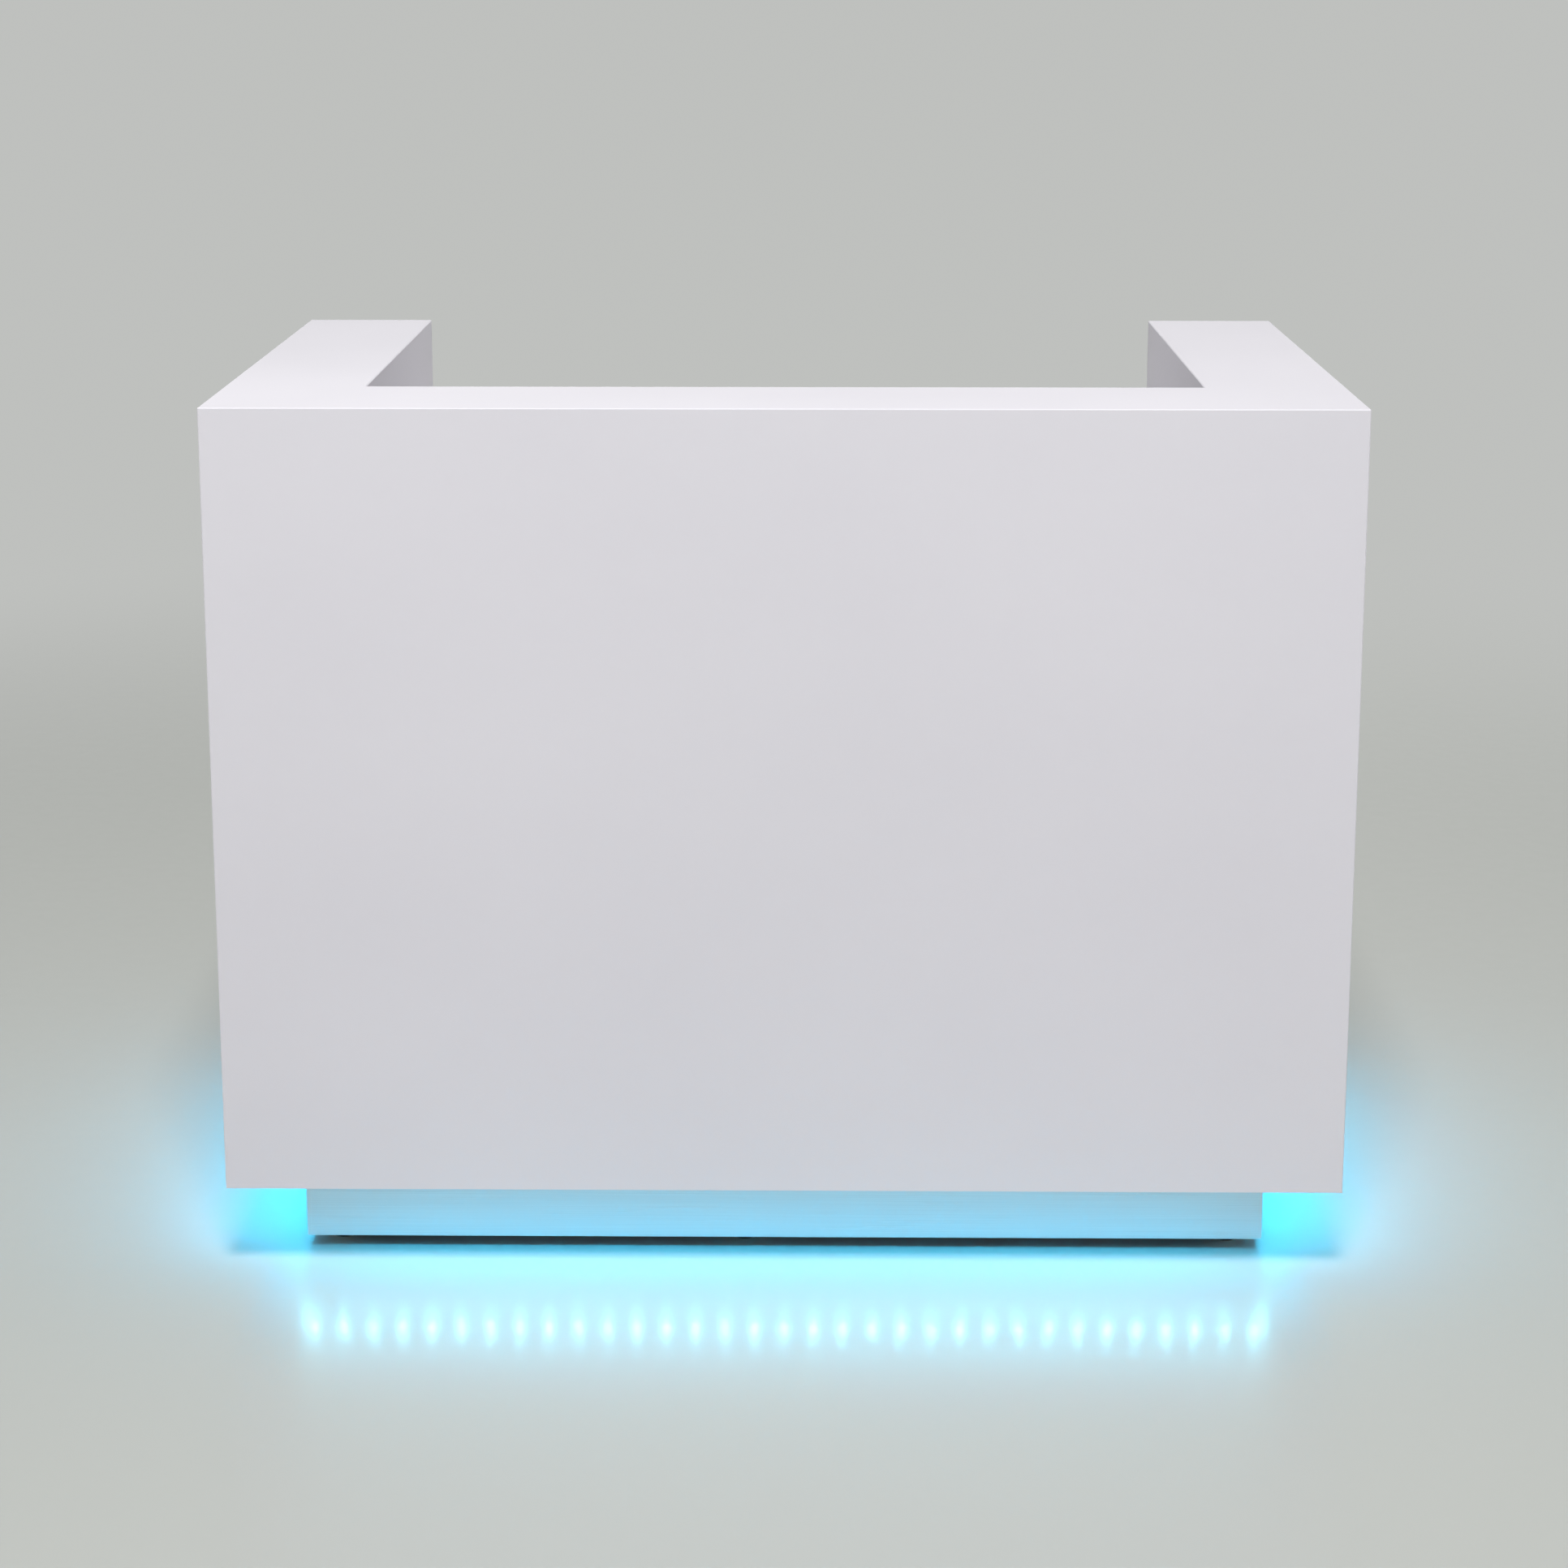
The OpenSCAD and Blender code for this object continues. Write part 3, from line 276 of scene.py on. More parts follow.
for place in ("front_left", "front_middle", "front_right", "rear_left", "rear_right"):
    low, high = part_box("leveller_" + place)
    centre = ((low[0] + high[0]) / 2, (low[1] + high[1]) / 2, 0)
    pad_r = (high[0] - low[0]) / 2
    rim = arc((pad_r - SOLE_IN - PAD_EDGE, SOLE_T + PAD_EDGE), PAD_EDGE, -90, 60)
    crown = arc(CROWN_AT, CROWN_R, 40, 80, steps=4)
    pad = turned([(0, SOLE_T)] + rim + crown + [(0, PAD_H)], centre)
    stud = rolled_thread(centre, HEX_TOP, high[2])
    foot = make_piece("levelling_foot_" + place, [pad, hexagon(centre, PAD_H, HEX_TOP), stud], zinc)
    fit(foot, "foot_" + place, "zinc_steel", "leveller_" + place)
    bead = arc((pad_r - SOLE_IN, SOLE_IN), SOLE_IN, -90, 0, steps=4)
    sole = turned([(0, 0)] + bead + [(pad_r - SOLE_IN / 2, SOLE_T), (0, SOLE_T)], centre)
    fit(make_piece("rubber_sole_" + place, [sole], sole_rubber), "foot_" + place, "zinc_steel")

brass, brass_tree, brass_shader = new_finish("insert_brass", (0.78, 0.60, 0.30), 0.3, 1.0)
knurling = grain(brass_tree, (300, 300, 900))
tint(brass_tree, brass_shader, knurling, (0.68, 0.50, 0.22), (0.84, 0.66, 0.36))
face_with(brass, "leveller_inserts")

# The light tape: a white flexible strip, stuck to the underside of the overhang close against the
# plinth, with a square light chip every 33 mm, each a white housing round a lit window, and between
# the chips a resistor and the copper pads where the tape can be cut.
tape_white, tape_tree, tape_shader = new_finish("tape_white", (0.78, 0.80, 0.80), 0.4)
vary_gloss(tape_tree, tape_shader, grain(tape_tree, (400, 400, 400)), 0.34, 0.5)
chip_white, chip_tree, chip_shader = new_finish("chip_white", (0.88, 0.88, 0.86), 0.35)
vary_gloss(chip_tree, chip_shader, grain(chip_tree, (800, 800, 800)), 0.3, 0.42)
lit, lit_tree, lit_shader = new_finish("lit_window", (0.35, 0.85, 1.0), 0.3)
lit_shader.inputs["Emission Color"].default_value = (0.10, 0.72, 1.0, 1)
lit_shader.inputs["Emission Strength"].default_value = 30
vary_gloss(lit_tree, lit_shader, grain(lit_tree, (900, 900, 900)), 0.2, 0.4)
copper, copper_tree, copper_shader = new_finish("tinned_copper", (0.80, 0.62, 0.46), 0.35, 1.0)
tinning = grain(copper_tree, (700, 700, 700))
tint(copper_tree, copper_shader, tinning, (0.72, 0.52, 0.36), (0.85, 0.72, 0.58))
resistor_black, resistor_tree, resistor_shader = new_finish("resistor_black", (0.02, 0.02, 0.022), 0.4)
vary_gloss(resistor_tree, resistor_shader, grain(resistor_tree, (900, 900, 900)), 0.34, 0.5)

CHIP_PITCH = 0.03333
CHIP_W = 0.005
CHIP_H = 0.0016
HOUSING_SIDES = 24
RECESS_DEPTH = 0.72
WINDOW_R = 0.36
WINDOW_BASE = 0.73
WINDOW_RISE = 0.17
TAPE_W = 0.0098
CAD_TAPE_W = 0.010
TAPE_T = 0.0010
RESISTOR = (0.0016, 0.0008, 0.0005)
RESISTOR_AT = 0.32
CUT_PAD = (0.003, 0.0015, 0.0001)
PAD_ROWS = (-0.0036, -0.0012, 0.0012, 0.0036)
CHIPS_PER_CUT = 3
BLOCK_EASE = 0.15


def small_block(centre, size):
    """A block with eased top and bottom, made of four rectangular rings: with an ease of BLOCK_EASE
    times half the height, the first and last are set in by it, and the others lie that far from
    the faces at full size."""
    half = np.array(size) / 2
    corners = np.array([[1, 1], [-1, 1], [-1, -1], [1, -1]])
    inset = np.array([BLOCK_EASE, 0, 0, BLOCK_EASE])[:, None, None] * half[2]
    z = np.array([-1, BLOCK_EASE - 1, 1 - BLOCK_EASE, 1])[:, None, None] * half[2]
    around = corners * (half[:2] - inset)
    return np.concatenate([around, z + 0 * around[..., :1]], axis=-1) + np.array(centre)


def chip_housing(centre):
    """A chip's housing, open downwards: rings that pass from a square to a circle. The point at
    angle t lies at a / max(|cos t|, |sin t|) ** p, with p 1 on the square and 0 on the circle. Each
    ring is a in chip widths, p, and its depth in chip heights."""
    t = np.linspace(0, 2 * np.pi, HOUSING_SIDES, endpoint=False)[None, :] + np.pi / 4
    a, p, depth = np.array([(0.5, 1, 0), (0.5, 1, 0.86), (0.475, 1, 1), (0.41, 0.1, 1),
                            (0.37, 0, RECESS_DEPTH), (0, 0, RECESS_DEPTH)]).T[:, :, None]
    r = a * CHIP_W / np.maximum(np.abs(np.cos(t)), np.abs(np.sin(t))) ** p
    z = -depth * CHIP_H + 0 * t
    return np.stack([r * np.cos(t), r * np.sin(t), z], axis=-1) + np.array(centre)


def chip_window(centre):
    """A chip's lit window: a shallow dome of revolution, its rim inside the housing's recess. The
    radius is r of the window's and the depth its base plus h of its rise, with (r, h) on an arc."""
    dome = arc((0, 0), 1, 90, 0)
    shape = [(WINDOW_R * CHIP_W * r, -CHIP_H * (WINDOW_BASE + WINDOW_RISE * h)) for r, h in dome]
    return turned(shape + [(0, -WINDOW_BASE * CHIP_H)], centre, columns=16)


def light_tape(name, start, end, node):
    """One run of tape between two points of its upper middle line, with all that it carries. Each
    chip lies at first + i times the pitch along the run. Returns the chips' places."""
    start, end, up = np.array(start), np.array(end), np.array([0, 0, 1])
    run = np.linalg.norm(end - start)
    way = (end - start) / run
    side = np.array([-way[1], way[0], 0])
    count = int((run - CHIP_W) / CHIP_PITCH) + 1
    first = (run - (count - 1) * CHIP_PITCH) / 2
    chips = [start + way * (first + i * CHIP_PITCH) - up * TAPE_T for i in range(count)]

    def sized(along, across, high):
        return np.abs(way) * along + np.abs(side) * across + up * high

    strip = small_block((start + end) / 2 - up * TAPE_T / 2, sized(run, TAPE_W, TAPE_T))
    resistor_step = way * CHIP_PITCH * RESISTOR_AT - up * RESISTOR[2] / 2
    cut_at = [chip + way * CHIP_PITCH / 2 for chip in chips[CHIPS_PER_CUT - 1:-1:CHIPS_PER_CUT]]
    parts = {
        "strip": ([strip], tape_white),
        "chips": ([chip_housing(chip) for chip in chips], chip_white),
        "windows": ([chip_window(chip) for chip in chips], lit),
        "resistors": ([small_block(chip + resistor_step, sized(*RESISTOR)) for chip in chips[:-1]],
                      resistor_black),
        "pads": ([small_block(cut + side * row, sized(*CUT_PAD))
                  for cut in cut_at for row in PAD_ROWS], copper),
    }
    for part, (grids, finish) in parts.items():
        fit(make_piece(name + "_" + part, grids, finish), "desk", "light_tape", node)
    return chips


low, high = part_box("front_light_tape")
tape_y = (low[1] + high[1]) / 2
front_chips = light_tape("front_tape", (low[0], tape_y, high[2]), (high[0], tape_y, high[2]),
                         "front_light_tape")
low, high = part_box("side_light_tapes")
tape_x = high[0] - CAD_TAPE_W / 2
left_chips, right_chips = [
    light_tape(name, (x, low[1], high[2]), (x, high[1], high[2]), "side_light_tapes")
    for name, x in (("left_tape", -tape_x), ("right_tape", tape_x))]

# The supply inside the front wall: a ribbed aluminium driver, a white moulded colour controller,
# and the black leads between them and down to the tape, one bent through the wall's underside.
driver_metal, driver_tree, driver_shader = new_finish("driver_aluminium", (0.72, 0.73, 0.74), 0.38, 1.0)
drawing = grain(driver_tree, (3, 700, 700), detail=4)
tint(driver_tree, driver_shader, drawing, (0.66, 0.67, 0.68), (0.78, 0.79, 0.80))
vary_gloss(driver_tree, driver_shader, drawing, 0.3, 0.48)
face_with(driver_metal, "light_driver")

white_plastic, plastic_tree, plastic_shader = new_finish("moulded_white", (0.80, 0.80, 0.79), 0.45)
emboss(plastic_tree, plastic_shader, grain(plastic_tree, (1500, 1500, 1500), detail=1), 0.00003)
face_with(white_plastic, "light_controller")

sheath, sheath_tree, sheath_shader = new_finish("lead_sheath", (0.03, 0.03, 0.03), 0.5)
vary_gloss(sheath_tree, sheath_shader, grain(sheath_tree, (300, 300, 300)), 0.42, 0.6)

LEAD_BEND = 0.012
LEAD_SIDES = 16


def lead(path, radius):
    """A lead round a path in a plane of constant y: at each point the ring is radius times cos t
    along the path's normal and radius times sin t along y."""
    path = np.array(path)
    way = np.gradient(path, axis=0)
    way /= np.linalg.norm(way, axis=1)[:, None]
    normal = np.column_stack([-way[:, 2], np.zeros(len(path)), way[:, 0]])[:, None]
    t = np.linspace(0, 2 * np.pi, LEAD_SIDES, endpoint=False)[None, :, None]
    return path[:, None] + radius * np.cos(t) * normal + radius * np.sin(t) * np.array([0, 1, 0])


low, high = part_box("light_leads")
lead_r = (high[1] - low[1]) / 2
lead_y = (low[1] + high[1]) / 2
lead_z = high[2] - lead_r
down_x = high[0] - lead_r
driver_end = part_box("light_driver")[1][0]
controller_start, controller_end = (corner[0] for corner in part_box("light_controller"))
corner_arc = arc((down_x - LEAD_BEND, lead_z - LEAD_BEND), LEAD_BEND, 90, 0, steps=14)
bend = [(x, lead_y, z) for x, z in corner_arc]
leads = [lead([(driver_end, lead_y, lead_z), (controller_start, lead_y, lead_z)], lead_r),
         lead([(controller_end, lead_y, lead_z)] + bend + [(down_x, lead_y, low[2])], lead_r)]
fit(make_piece("sheathed_leads", leads, sheath), "desk", "lead_sheath", "light_leads")

# The cable entry bush: a turned plastic ring pressed into the staff-side board, with a rounded
# flange, which keeps the mains lead off the board's edge.
grey_plastic, grey_tree, grey_shader = new_finish("grey_plastic", (0.30, 0.305, 0.315), 0.5)
moulding = grain(grey_tree, (1100, 1100, 1100), detail=2)
vary_gloss(grey_tree, grey_shader, moulding, 0.42, 0.58)
emboss(grey_tree, grey_shader, moulding, 0.00005)

BUSH_WALL = 0.003
BUSH_FLANGE = 0.005
BUSH_FLANGE_T = 0.002
BUSH_EASE = 0.0009


def flanged_ring(bore, sleeve, flange, low, seat, high, ease):
    """The closed outline of a flanged ring, as (radius, height) pairs: a sleeve from low up to seat
    and a flange from seat up to high, whose rim and mouth are rounded by ease."""
    return ([(bore, low), (sleeve, low), (sleeve, seat), (flange, seat)]
            + arc((flange - ease, high - ease), ease, 0, 90)
            + arc((bore + ease, high - ease), ease, 90, 180))


low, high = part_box("cable_entry_bush")
flange_r = (high[0] - low[0]) / 2
sleeve_r = flange_r - BUSH_FLANGE
centre = ((low[0] + high[0]) / 2, 0, (low[2] + high[2]) / 2)
profile = flanged_ring(sleeve_r - BUSH_WALL, sleeve_r, flange_r,
                       low[1], high[1] - BUSH_FLANGE_T, high[1], BUSH_EASE)
entry_ring = turned(profile, centre, "y", columns=64)
bush = make_piece("cable_entry_ring", [entry_ring], grey_plastic, ring=True)
fit(bush, "desk", "grey_plastic", "cable_entry_bush")

# The worktop: 25 mm board in the walls' laminate, its edges eased. Softwood battens carry it,
# screwed to the walls with pan-head screws.
face_with(laminate, "work_top")

softwood, softwood_tree, softwood_shader = new_finish("softwood", (0.74, 0.58, 0.38), 0.65)
rings = grain(softwood_tree, (6, 6, 420), detail=4, roughness=0.6)
tint(softwood_tree, softwood_shader, rings, (0.58, 0.40, 0.22), (0.80, 0.66, 0.46), 0.3, 0.7)
emboss(softwood_tree, softwood_shader, rings, 0.0002)
face_with(softwood, "worktop_battens")

BATTEN_W = 0.020
BATTEN_SCREW_R = 0.004
BATTEN_SCREW_PROUD = 0.0016
LEFT_SCREWS_Y = (-0.15, 0.02, 0.19, 0.30)
RIGHT_SCREW_Y = -0.165
FRONT_SCREWS_X = (-0.33, -0.11, 0.11, 0.33)
HEAD_EDGE = 0.0003
HEAD_SIDES = 32
DOME_RINGS = 14
DOME_FROM = 0.94
CROSS_BLADE = 0.14
CROSS_REACH = 0.62
CROSS_DEPTH = 0.6


def screw_head(centre, axis, sign, radius, proud):
    """A low domed head with a cross recess: over a disc the height is the edge's plus
    proud (1 - (r / R) ** 2), less a part of proud wherever the point lies within half a blade of
    either line of the cross and within its reach."""
    r = radius * np.concatenate([[1.0, 1.0], np.linspace(DOME_FROM, 0.0, DOME_RINGS)])[:, None]
    t = np.linspace(0, 2 * np.pi, HEAD_SIDES, endpoint=False)[None, :]
    x, y = r * np.cos(t), r * np.sin(t)
    in_blade = np.minimum(np.abs(x), np.abs(y)) < radius * CROSS_BLADE
    cross = in_blade & (r < radius * CROSS_REACH)
    height = proud * (1 - (r / radius) ** 2) + HEAD_EDGE - CROSS_DEPTH * proud * cross
    height[0] = 0
    order = {"x": (sign * height, x, y), "y": (x, sign * height, y)}[axis]
    return np.stack(order, axis=-1) + np.array(centre)


low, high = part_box("worktop_battens")
batten_z = (low[2] + high[2]) / 2
screws = [((low[0] + BATTEN_W, y, batten_z), "x", 1) for y in LEFT_SCREWS_Y]
screws += [((high[0] - BATTEN_W, RIGHT_SCREW_Y, batten_z), "x", -1)]
screws += [((x, low[1] + BATTEN_W, batten_z), "y", 1) for x in FRONT_SCREWS_X]
heads = [screw_head(*screw, BATTEN_SCREW_R, BATTEN_SCREW_PROUD) for screw in screws]
fit(make_piece("batten_screws", heads, zinc), "desk", "zinc_steel")

# The cable grommets: a sleeve let in flush with the worktop, and a cap that turns in it to face its
# slot the way the cables run. Both are moulded in grey plastic.
FLAT_WITHIN = 0.5


def softened(name, node, finish, width):
    """A copy of a CAD node with doubles merged and faces that are flat within FLAT_WITHIN degrees
    joined, whose arrises from SHARP_FROM degrees are rounded by a bevel of the width in metres."""
    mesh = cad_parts[node].data.copy()
    merged = bmesh.new()
    merged.from_mesh(mesh)
    bmesh.ops.remove_doubles(merged, verts=merged.verts, dist=1e-6)
    bmesh.ops.dissolve_limit(merged, angle_limit=math.radians(FLAT_WITHIN), verts=merged.verts,
                             edges=merged.edges)
    merged.to_mesh(mesh)
    merged.free()
    mesh.materials.clear()
    mesh.materials.append(finish)
    mesh.shade_smooth()
    mesh.set_sharp_from_angle(angle=math.radians(SHARP_FROM))
    piece = bpy.data.objects.new(name, mesh)
    bpy.context.collection.objects.link(piece)
    bevel = piece.modifiers.new("eased", "BEVEL")
    bevel.width = width
    bevel.segments = 2
    bevel.limit_method = "ANGLE"
    bevel.angle_limit = math.radians(SHARP_FROM)
    return piece


GROMMET_WALL = 0.0025
GROMMET_FLANGE = 0.005
FLANGE_T = 0.003
CAP_SEAT = 0.002
CAP_EASE = 0.0004
SEAT_EASE = 0.0004
RIM_EASE = 0.0006

for side in ("left", "right"):
    low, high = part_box(side + "_grommet_sleeve")
    centre = ((low[0] + high[0]) / 2, (low[1] + high[1]) / 2, 0)
    flange_r = (high[0] - low[0]) / 2
    outer = flange_r - GROMMET_FLANGE
    inner = outer - GROMMET_WALL
    seat_r = flange_r - GROMMET_FLANGE / 2
    top = high[2]
    profile = [(inner, low[2]), (outer, low[2]), (outer, top - FLANGE_T), (flange_r, top - FLANGE_T)]
    profile += arc((flange_r - RIM_EASE, top - RIM_EASE), RIM_EASE, 0, 90)
    profile += arc((seat_r + SEAT_EASE, top - SEAT_EASE), SEAT_EASE, 90, 180)
    profile += [(seat_r, top - CAP_SEAT), (inner, top - CAP_SEAT)]
    sleeve_ring = turned(profile, centre, "z", columns=64)
    sleeve = make_piece(side + "_sleeve_ring", [sleeve_ring], grey_plastic, ring=True)
    fit(sleeve, "desk", "grey_plastic", side + "_grommet_sleeve")
    cap = softened(side + "_slotted_cap", side + "_grommet_cap", grey_plastic, CAP_EASE)
    fit(cap, side + "_cap", "grey_plastic", side + "_grommet_cap")

# The pedestal: white melamine-faced boards with edging tape, glued and screwed, hung from the
# worktop and the side wall.
melamine, melamine_tree, melamine_shader = new_finish("pedestal_melamine", (0.79, 0.79, 0.80), 0.48)
vary_gloss(melamine_tree, melamine_shader, grain(melamine_tree, (3, 3, 3), detail=4), 0.42, 0.54)
emboss(melamine_tree, melamine_shader, grain(melamine_tree, (900, 900, 900), detail=2), 0.00003)
face_with(melamine, "pedestal_left_side", "pedestal_right_side", "pedestal_top", "pedestal_bottom",
          "pedestal_back")

# The drawer runners: three channels a side, rolled from zinc-plated strip, with steel balls in two
# cages between them. Low screws fix the largest to the carcass and the smallest to the drawer.
face_with(zinc, "runner_cabinet_members", "upper_drawer_members", "upper_middle_members",
          "lower_drawer_members", "lower_middle_members")

ball_steel, ball_tree, ball_shader = new_finish("ball_steel", (0.78, 0.78, 0.79), 0.16, 1.0)
vary_gloss(ball_tree, ball_shader, grain(ball_tree, (600, 600, 600)), 0.1, 0.24)
face_with(ball_steel, "upper_outer_cages", "upper_inner_cages", "lower_outer_cages",
          "lower_inner_cages")

RUNNER_STEEL = 0.0012
DRAWER_SCREW_R = 0.0034
DRAWER_SCREW_PROUD = 0.0012
CARCASS_SCREW_R = 0.0021
CARCASS_SCREW_PROUD = 0.0006
SCREWS_A_SIDE = 4
HOLE_END = 0.035
DRAWER_FLANGE = 0.0074

cabinet_low, cabinet_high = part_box("runner_cabinet_members")
for drawer in ("upper", "lower"):
    low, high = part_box(drawer + "_drawer_members")
    middle_z = (low[2] + high[2]) / 2
    screws_y = np.linspace(low[1] + HOLE_END, high[1] - HOLE_END, SCREWS_A_SIDE)
    web = DRAWER_FLANGE - RUNNER_STEEL
    webs = ((low[0] + web, -1), (high[0] - web, 1))
    heads = [screw_head((x, y, middle_z), "x", sign, DRAWER_SCREW_R, DRAWER_SCREW_PROUD)
             for x, sign in webs for y in screws_y]
    fit(make_piece(drawer + "_drawer_screws", heads, ball_steel), drawer + "_drawer", "runner_steel")
    sunk = RUNNER_STEEL / 3
    walls = ((cabinet_low[0] + sunk, 1), (cabinet_high[0] - sunk, -1))
    heads = [screw_head((x, y, middle_z), "x", sign, CARCASS_SCREW_R, CARCASS_SCREW_PROUD)
             for x, sign in walls for y in screws_y]
    fit(make_piece(drawer + "_carcass_screws", heads, ball_steel), "desk", "runner_steel")

# The drawers: foil-wrapped board boxes behind melamine-faced fronts with eased edges. The lower one
# is deep enough for hanging files, which slide on two flat rails.
foil, foil_tree, foil_shader = new_finish("drawer_foil", (0.80, 0.80, 0.78), 0.5)
vary_gloss(foil_tree, foil_shader, grain(foil_tree, (4, 4, 90), detail=4), 0.44, 0.56)
face_with(foil, "upper_drawer_box", "lower_drawer_box")

FRONT_EASE = 0.0004

for drawer in ("upper", "lower"):
    front = softened(drawer + "_eased_front", drawer + "_drawer_front", melamine, FRONT_EASE)
    fit(front, drawer + "_drawer", "pedestal_board", drawer + "_drawer_front")

satin, satin_tree, satin_shader = new_finish("satin_nickel", (0.72, 0.71, 0.69), 0.3, 1.0)
polishing = grain(satin_tree, (30, 1500, 1500), detail=3)
tint(satin_tree, satin_shader, polishing, (0.69, 0.68, 0.66), (0.75, 0.74, 0.72))
vary_gloss(satin_tree, satin_shader, polishing, 0.27, 0.34)
face_with(satin, "hanging_file_rails")

# The handles: a satin nickel bar with domed ends, carried on two round posts that flare where they
# meet the drawer's front.
HANDLE_R = 0.005
POST_R = 0.004
POST_APART = 0.128
FLARE = 0.0015

for drawer in ("upper", "lower"):
    low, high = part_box(drawer + "_drawer_handle")
    middle_x = (low[0] + high[0]) / 2
    bar_y = high[1] - HANDLE_R
    bar_z = (low[2] + high[2]) / 2
    length = high[0] - low[0]
    reach = bar_y - low[1]
    dome = arc((0, HANDLE_R), HANDLE_R, -90, 0, steps=7)
    far_dome = [(r, length - h) for r, h in reversed(dome)]
    grids = [turned(dome + far_dome, (low[0], bar_y, bar_z), "x", columns=32)]
    flare = arc((POST_R + FLARE, FLARE), FLARE, -90, -180, steps=6)
    post = [(0, 0)] + flare + [(POST_R, reach), (0, reach)]
    for side in (-1, 1):
        foot_x = middle_x + side * POST_APART / 2
        grids.append(turned(post, (foot_x, low[1], bar_z), "y", columns=28))
    fit(make_piece(drawer + "_bar_handle", grids, satin), drawer + "_drawer", "satin_metal",
        drawer + "_drawer_handle")

# The cam lock: a nickel-plated housing with a rounded rim on the front, and the barrel that the key
# turns, with its keyway outside and its cam inside.
nickel, nickel_tree, nickel_shader = new_finish("lock_nickel", (0.80, 0.79, 0.77), 0.2, 1.0)
vary_gloss(nickel_tree, nickel_shader, grain(nickel_tree, (400, 400, 400)), 0.14, 0.28)

LOCK_BORE_R = 0.00658
LOCK_RIM = 0.0025
LOCK_RIM_T = 0.002
LOCK_RIM_EASE = 0.0009
BARREL_EASE = 0.0003

low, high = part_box("lock_housing")
rim_r = (high[0] - low[0]) / 2
centre = ((low[0] + high[0]) / 2, 0, (low[2] + high[2]) / 2)
profile = flanged_ring(LOCK_BORE_R, rim_r - LOCK_RIM, rim_r,
                       low[1], high[1] - LOCK_RIM_T, high[1], LOCK_RIM_EASE)
rimmed_sleeve = turned(profile, centre, "y", columns=64)
housing = make_piece("rimmed_lock_housing", [rimmed_sleeve], nickel, ring=True)
fit(housing, "upper_drawer", "lock_metal", "lock_housing")
barrel = softened("eased_lock_barrel", "lock_barrel", nickel, BARREL_EASE)
fit(barrel, "lock_core", "lock_metal", "lock_barrel")

# The floor: a plain pale sheet with a slight polish, which mirrors the light chips softly. Far from
# the desk it passes into the surround's own tone, so that no horizon shows.
SURROUND = (0.52, 0.53, 0.515)
FADE_START = 1.7
FADE_END = 3.9
FLOOR_REACH = 40

floor_finish, floor_tree, floor_shader = new_finish("pale_floor", (0.495, 0.51, 0.48), 0.3)
vary_gloss(floor_tree, floor_shader, grain(floor_tree, (40, 40, 40)), 0.28, 0.34)
floor_shader.inputs["Coat Weight"].default_value = 0.25
floor_shader.inputs["Coat Roughness"].default_value = 0.13


def seen_directly(tree):
    """One for a ray of sight, mirror or glass, and zero for light that falls on a surface."""
    rays = tree.nodes.new("ShaderNodeLightPath")
    either = rays.outputs["Is Camera Ray"]
    for kind in ("Is Glossy Ray", "Is Transmission Ray"):
        larger = tree.nodes.new("ShaderNodeMath")
        larger.operation = "MAXIMUM"
        tree.links.new(either, larger.inputs[0])
        tree.links.new(rays.outputs[kind], larger.inputs[1])
        either = larger.outputs[0]
    return either


place = floor_tree.nodes.new("ShaderNodeTexCoord")
distance = floor_tree.nodes.new("ShaderNodeVectorMath")
distance.operation = "LENGTH"
fade = floor_tree.nodes.new("ShaderNodeMapRange")
fade.interpolation_type = "SMOOTHSTEP"
fade.inputs["From Min"].default_value = FADE_START
fade.inputs["From Max"].default_value = FADE_END
shown = floor_tree.nodes.new("ShaderNodeMath")
shown.operation = "MULTIPLY"
far_tone = floor_tree.nodes.new("ShaderNodeEmission")
far_tone.inputs["Color"].default_value = (*SURROUND, 1)
blend = floor_tree.nodes.new("ShaderNodeMixShader")
floor_tree.links.new(place.outputs["Object"], distance.inputs[0])
floor_tree.links.new(distance.outputs["Value"], fade.inputs["Value"])
floor_tree.links.new(fade.outputs["Result"], shown.inputs[0])
floor_tree.links.new(seen_directly(floor_tree), shown.inputs[1])
floor_tree.links.new(shown.outputs[0], blend.inputs[0])
floor_tree.links.new(floor_shader.outputs[0], blend.inputs[1])
floor_tree.links.new(far_tone.outputs[0], blend.inputs[2])
floor_tree.links.new(blend.outputs[0], floor_tree.nodes["Material Output"].inputs["Surface"])

floor_mesh = bpy.data.meshes.new("floor")
floor_corners = [(-1, -1, 0), (1, -1, 0), (1, 1, 0), (-1, 1, 0)]
floor_mesh.from_pydata(np.array(floor_corners) * FLOOR_REACH, [], [(0, 1, 2, 3)])
floor_mesh.materials.append(floor_finish)
floor = bpy.data.objects.new("floor", floor_mesh)
bpy.context.collection.objects.link(floor)

# The studio light: a pale surround, a large soft lamp high on the visitor's side, a weak one low on
# each of the other three, and one behind the desk that is only mirrored. A strip lamp along each
# tape gives its glow, and a tiny one under each chip gives the row of dots that the floor mirrors.
world = bpy.data.worlds.new("surround")
bpy.context.scene.world = world
world.use_nodes = True
world_tree = world.node_tree
lighting = world_tree.nodes["Background"]
lighting.inputs["Color"].default_value = (1.0, 1.0, 1.0, 1)
lighting.inputs["Strength"].default_value = 0.185
backdrop = world_tree.nodes.new("ShaderNodeBackground")
backdrop.inputs["Color"].default_value = (*SURROUND, 1)
surround = world_tree.nodes.new("ShaderNodeMixShader")
world_tree.links.new(seen_directly(world_tree), surround.inputs[0])
world_tree.links.new(lighting.outputs[0], surround.inputs[1])
world_tree.links.new(backdrop.outputs[0], surround.inputs[2])
world_tree.links.new(surround.outputs[0], world_tree.nodes["World Output"].inputs["Surface"])


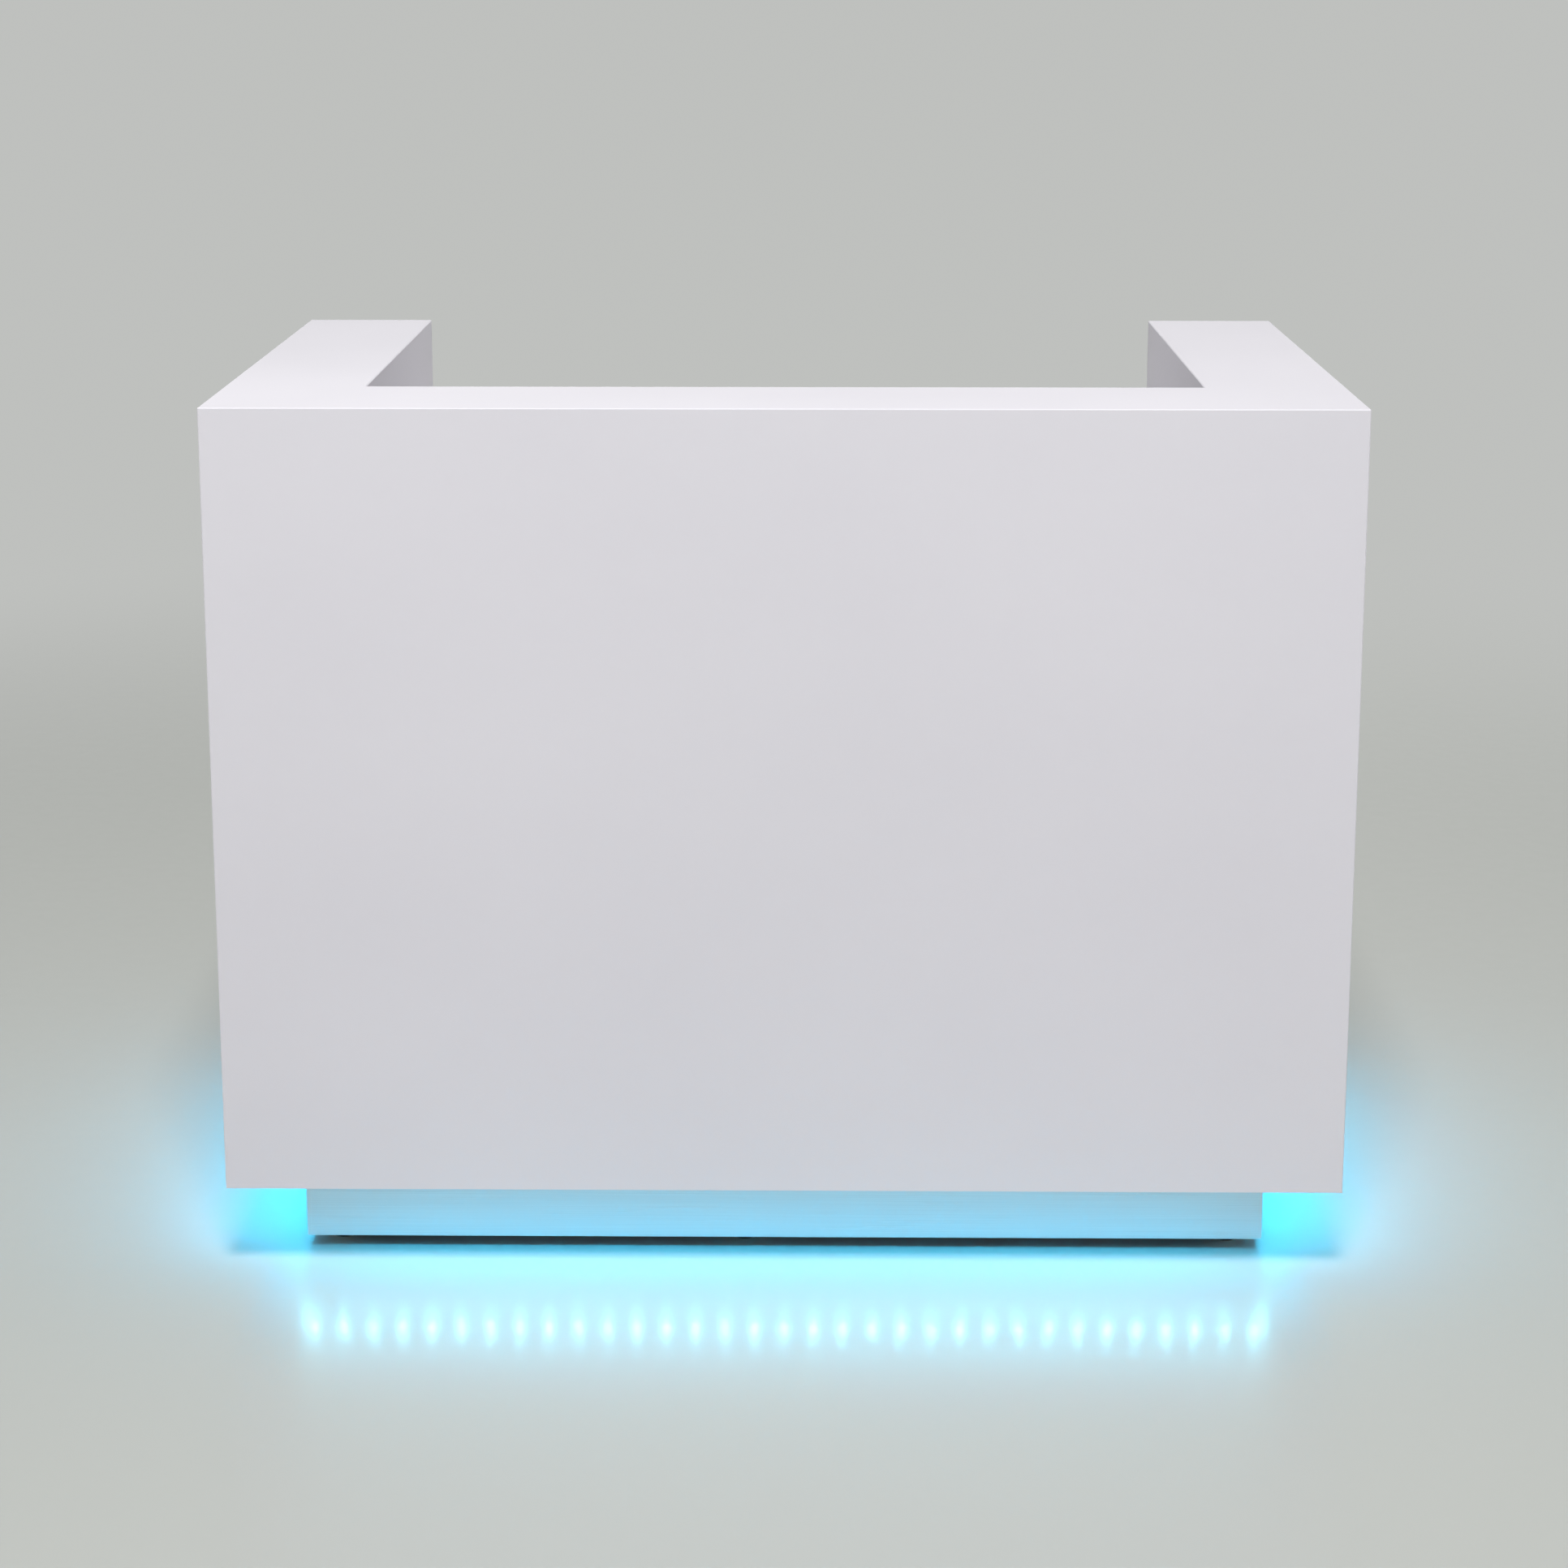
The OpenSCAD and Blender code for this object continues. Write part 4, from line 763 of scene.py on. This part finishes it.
def hang_lamp(name, place, turn, power, color=(1, 1, 1)):
    """An area lamp at a place, turned in degrees from pointing straight down, which the camera
    doesn't see."""
    lamp = bpy.data.objects.new(name, bpy.data.lights.new(name, "AREA"))
    lamp.data.energy = power
    lamp.data.color = color
    lamp.location = place
    lamp.rotation_euler = [math.radians(a) for a in turn]
    lamp.visible_camera = False
    bpy.context.collection.objects.link(lamp)
    return lamp


for name, place, turn, power, size in (
        ("visitor_side", (0, -3.6, 6.2), (32, 0, 0), 420, (1.3, 1.3)),
        ("staff_side", (0.6, 4.0, 1.7), (-70, 0, -9), 32, (2.4, 1.0)),
        ("left_side", (-4.2, 0.4, 0.6), (90, 0, -90), 26, (2.4, 1.0)),
        ("right_side", (4.2, 0.4, 0.6), (90, 0, 90), 26, (2.4, 1.0))):
    studio = hang_lamp(name, place, turn, power)
    studio.data.shape = "RECTANGLE"
    studio.data.size, studio.data.size_y = size
    studio.visible_glossy = False
sheen = hang_lamp("staff_sheen", (-0.8, 2.6, 3.6), (-38, 0, -17), 16)
sheen.data.size = 1.0
sheen.visible_diffuse = False

# The lamps under the tape lean outwards, in degrees, and the drops below it are in chip heights.
GLOW = (0.01, 0.58, 1.0)
GLOW_LEAN = 38
GLOW_OUT = 0.02
GLOW_DROP = 3.6
GLOW_W = 0.008
GLOW_POWER = 1.06
SIDE_GLOW_POWER = 1.95
GLINT = (0.20, 0.78, 1.0)
GLINT_DROP = 1.2
GLINT_W = 0.008
GLINT_POWER = 0.04

chip_drop = np.array([0, 0, -CHIP_H])
for name, chips, outward, power in (("front", front_chips, (0, -1, 0), GLOW_POWER),
                                    ("left", left_chips, (-1, 0, 0), SIDE_GLOW_POWER),
                                    ("right", right_chips, (1, 0, 0), SIDE_GLOW_POWER)):
    turn = (outward[1] * GLOW_LEAN, -outward[0] * GLOW_LEAN, 0)
    for i, chip in enumerate(chips):
        under = chip + GLINT_DROP * chip_drop
        glint = hang_lamp(f"{name}_glint_{i}", under, turn, GLINT_POWER, GLINT)
        glint.data.shape = "DISK"
        glint.data.size = GLINT_W
        glint.visible_diffuse = False
    run = np.abs(chips[-1] - chips[0])[:2]
    middle = (chips[0] + chips[-1]) / 2 + GLOW_DROP * chip_drop + GLOW_OUT * np.array(outward)
    glow = hang_lamp(name + "_glow", middle, turn, power * run.max(), GLOW)
    glow.data.shape = "RECTANGLE"
    glow.data.size, glow.data.size_y = np.maximum(run, GLOW_W)
    glow.visible_glossy = False

bpy.context.scene.view_settings.view_transform = "Standard"
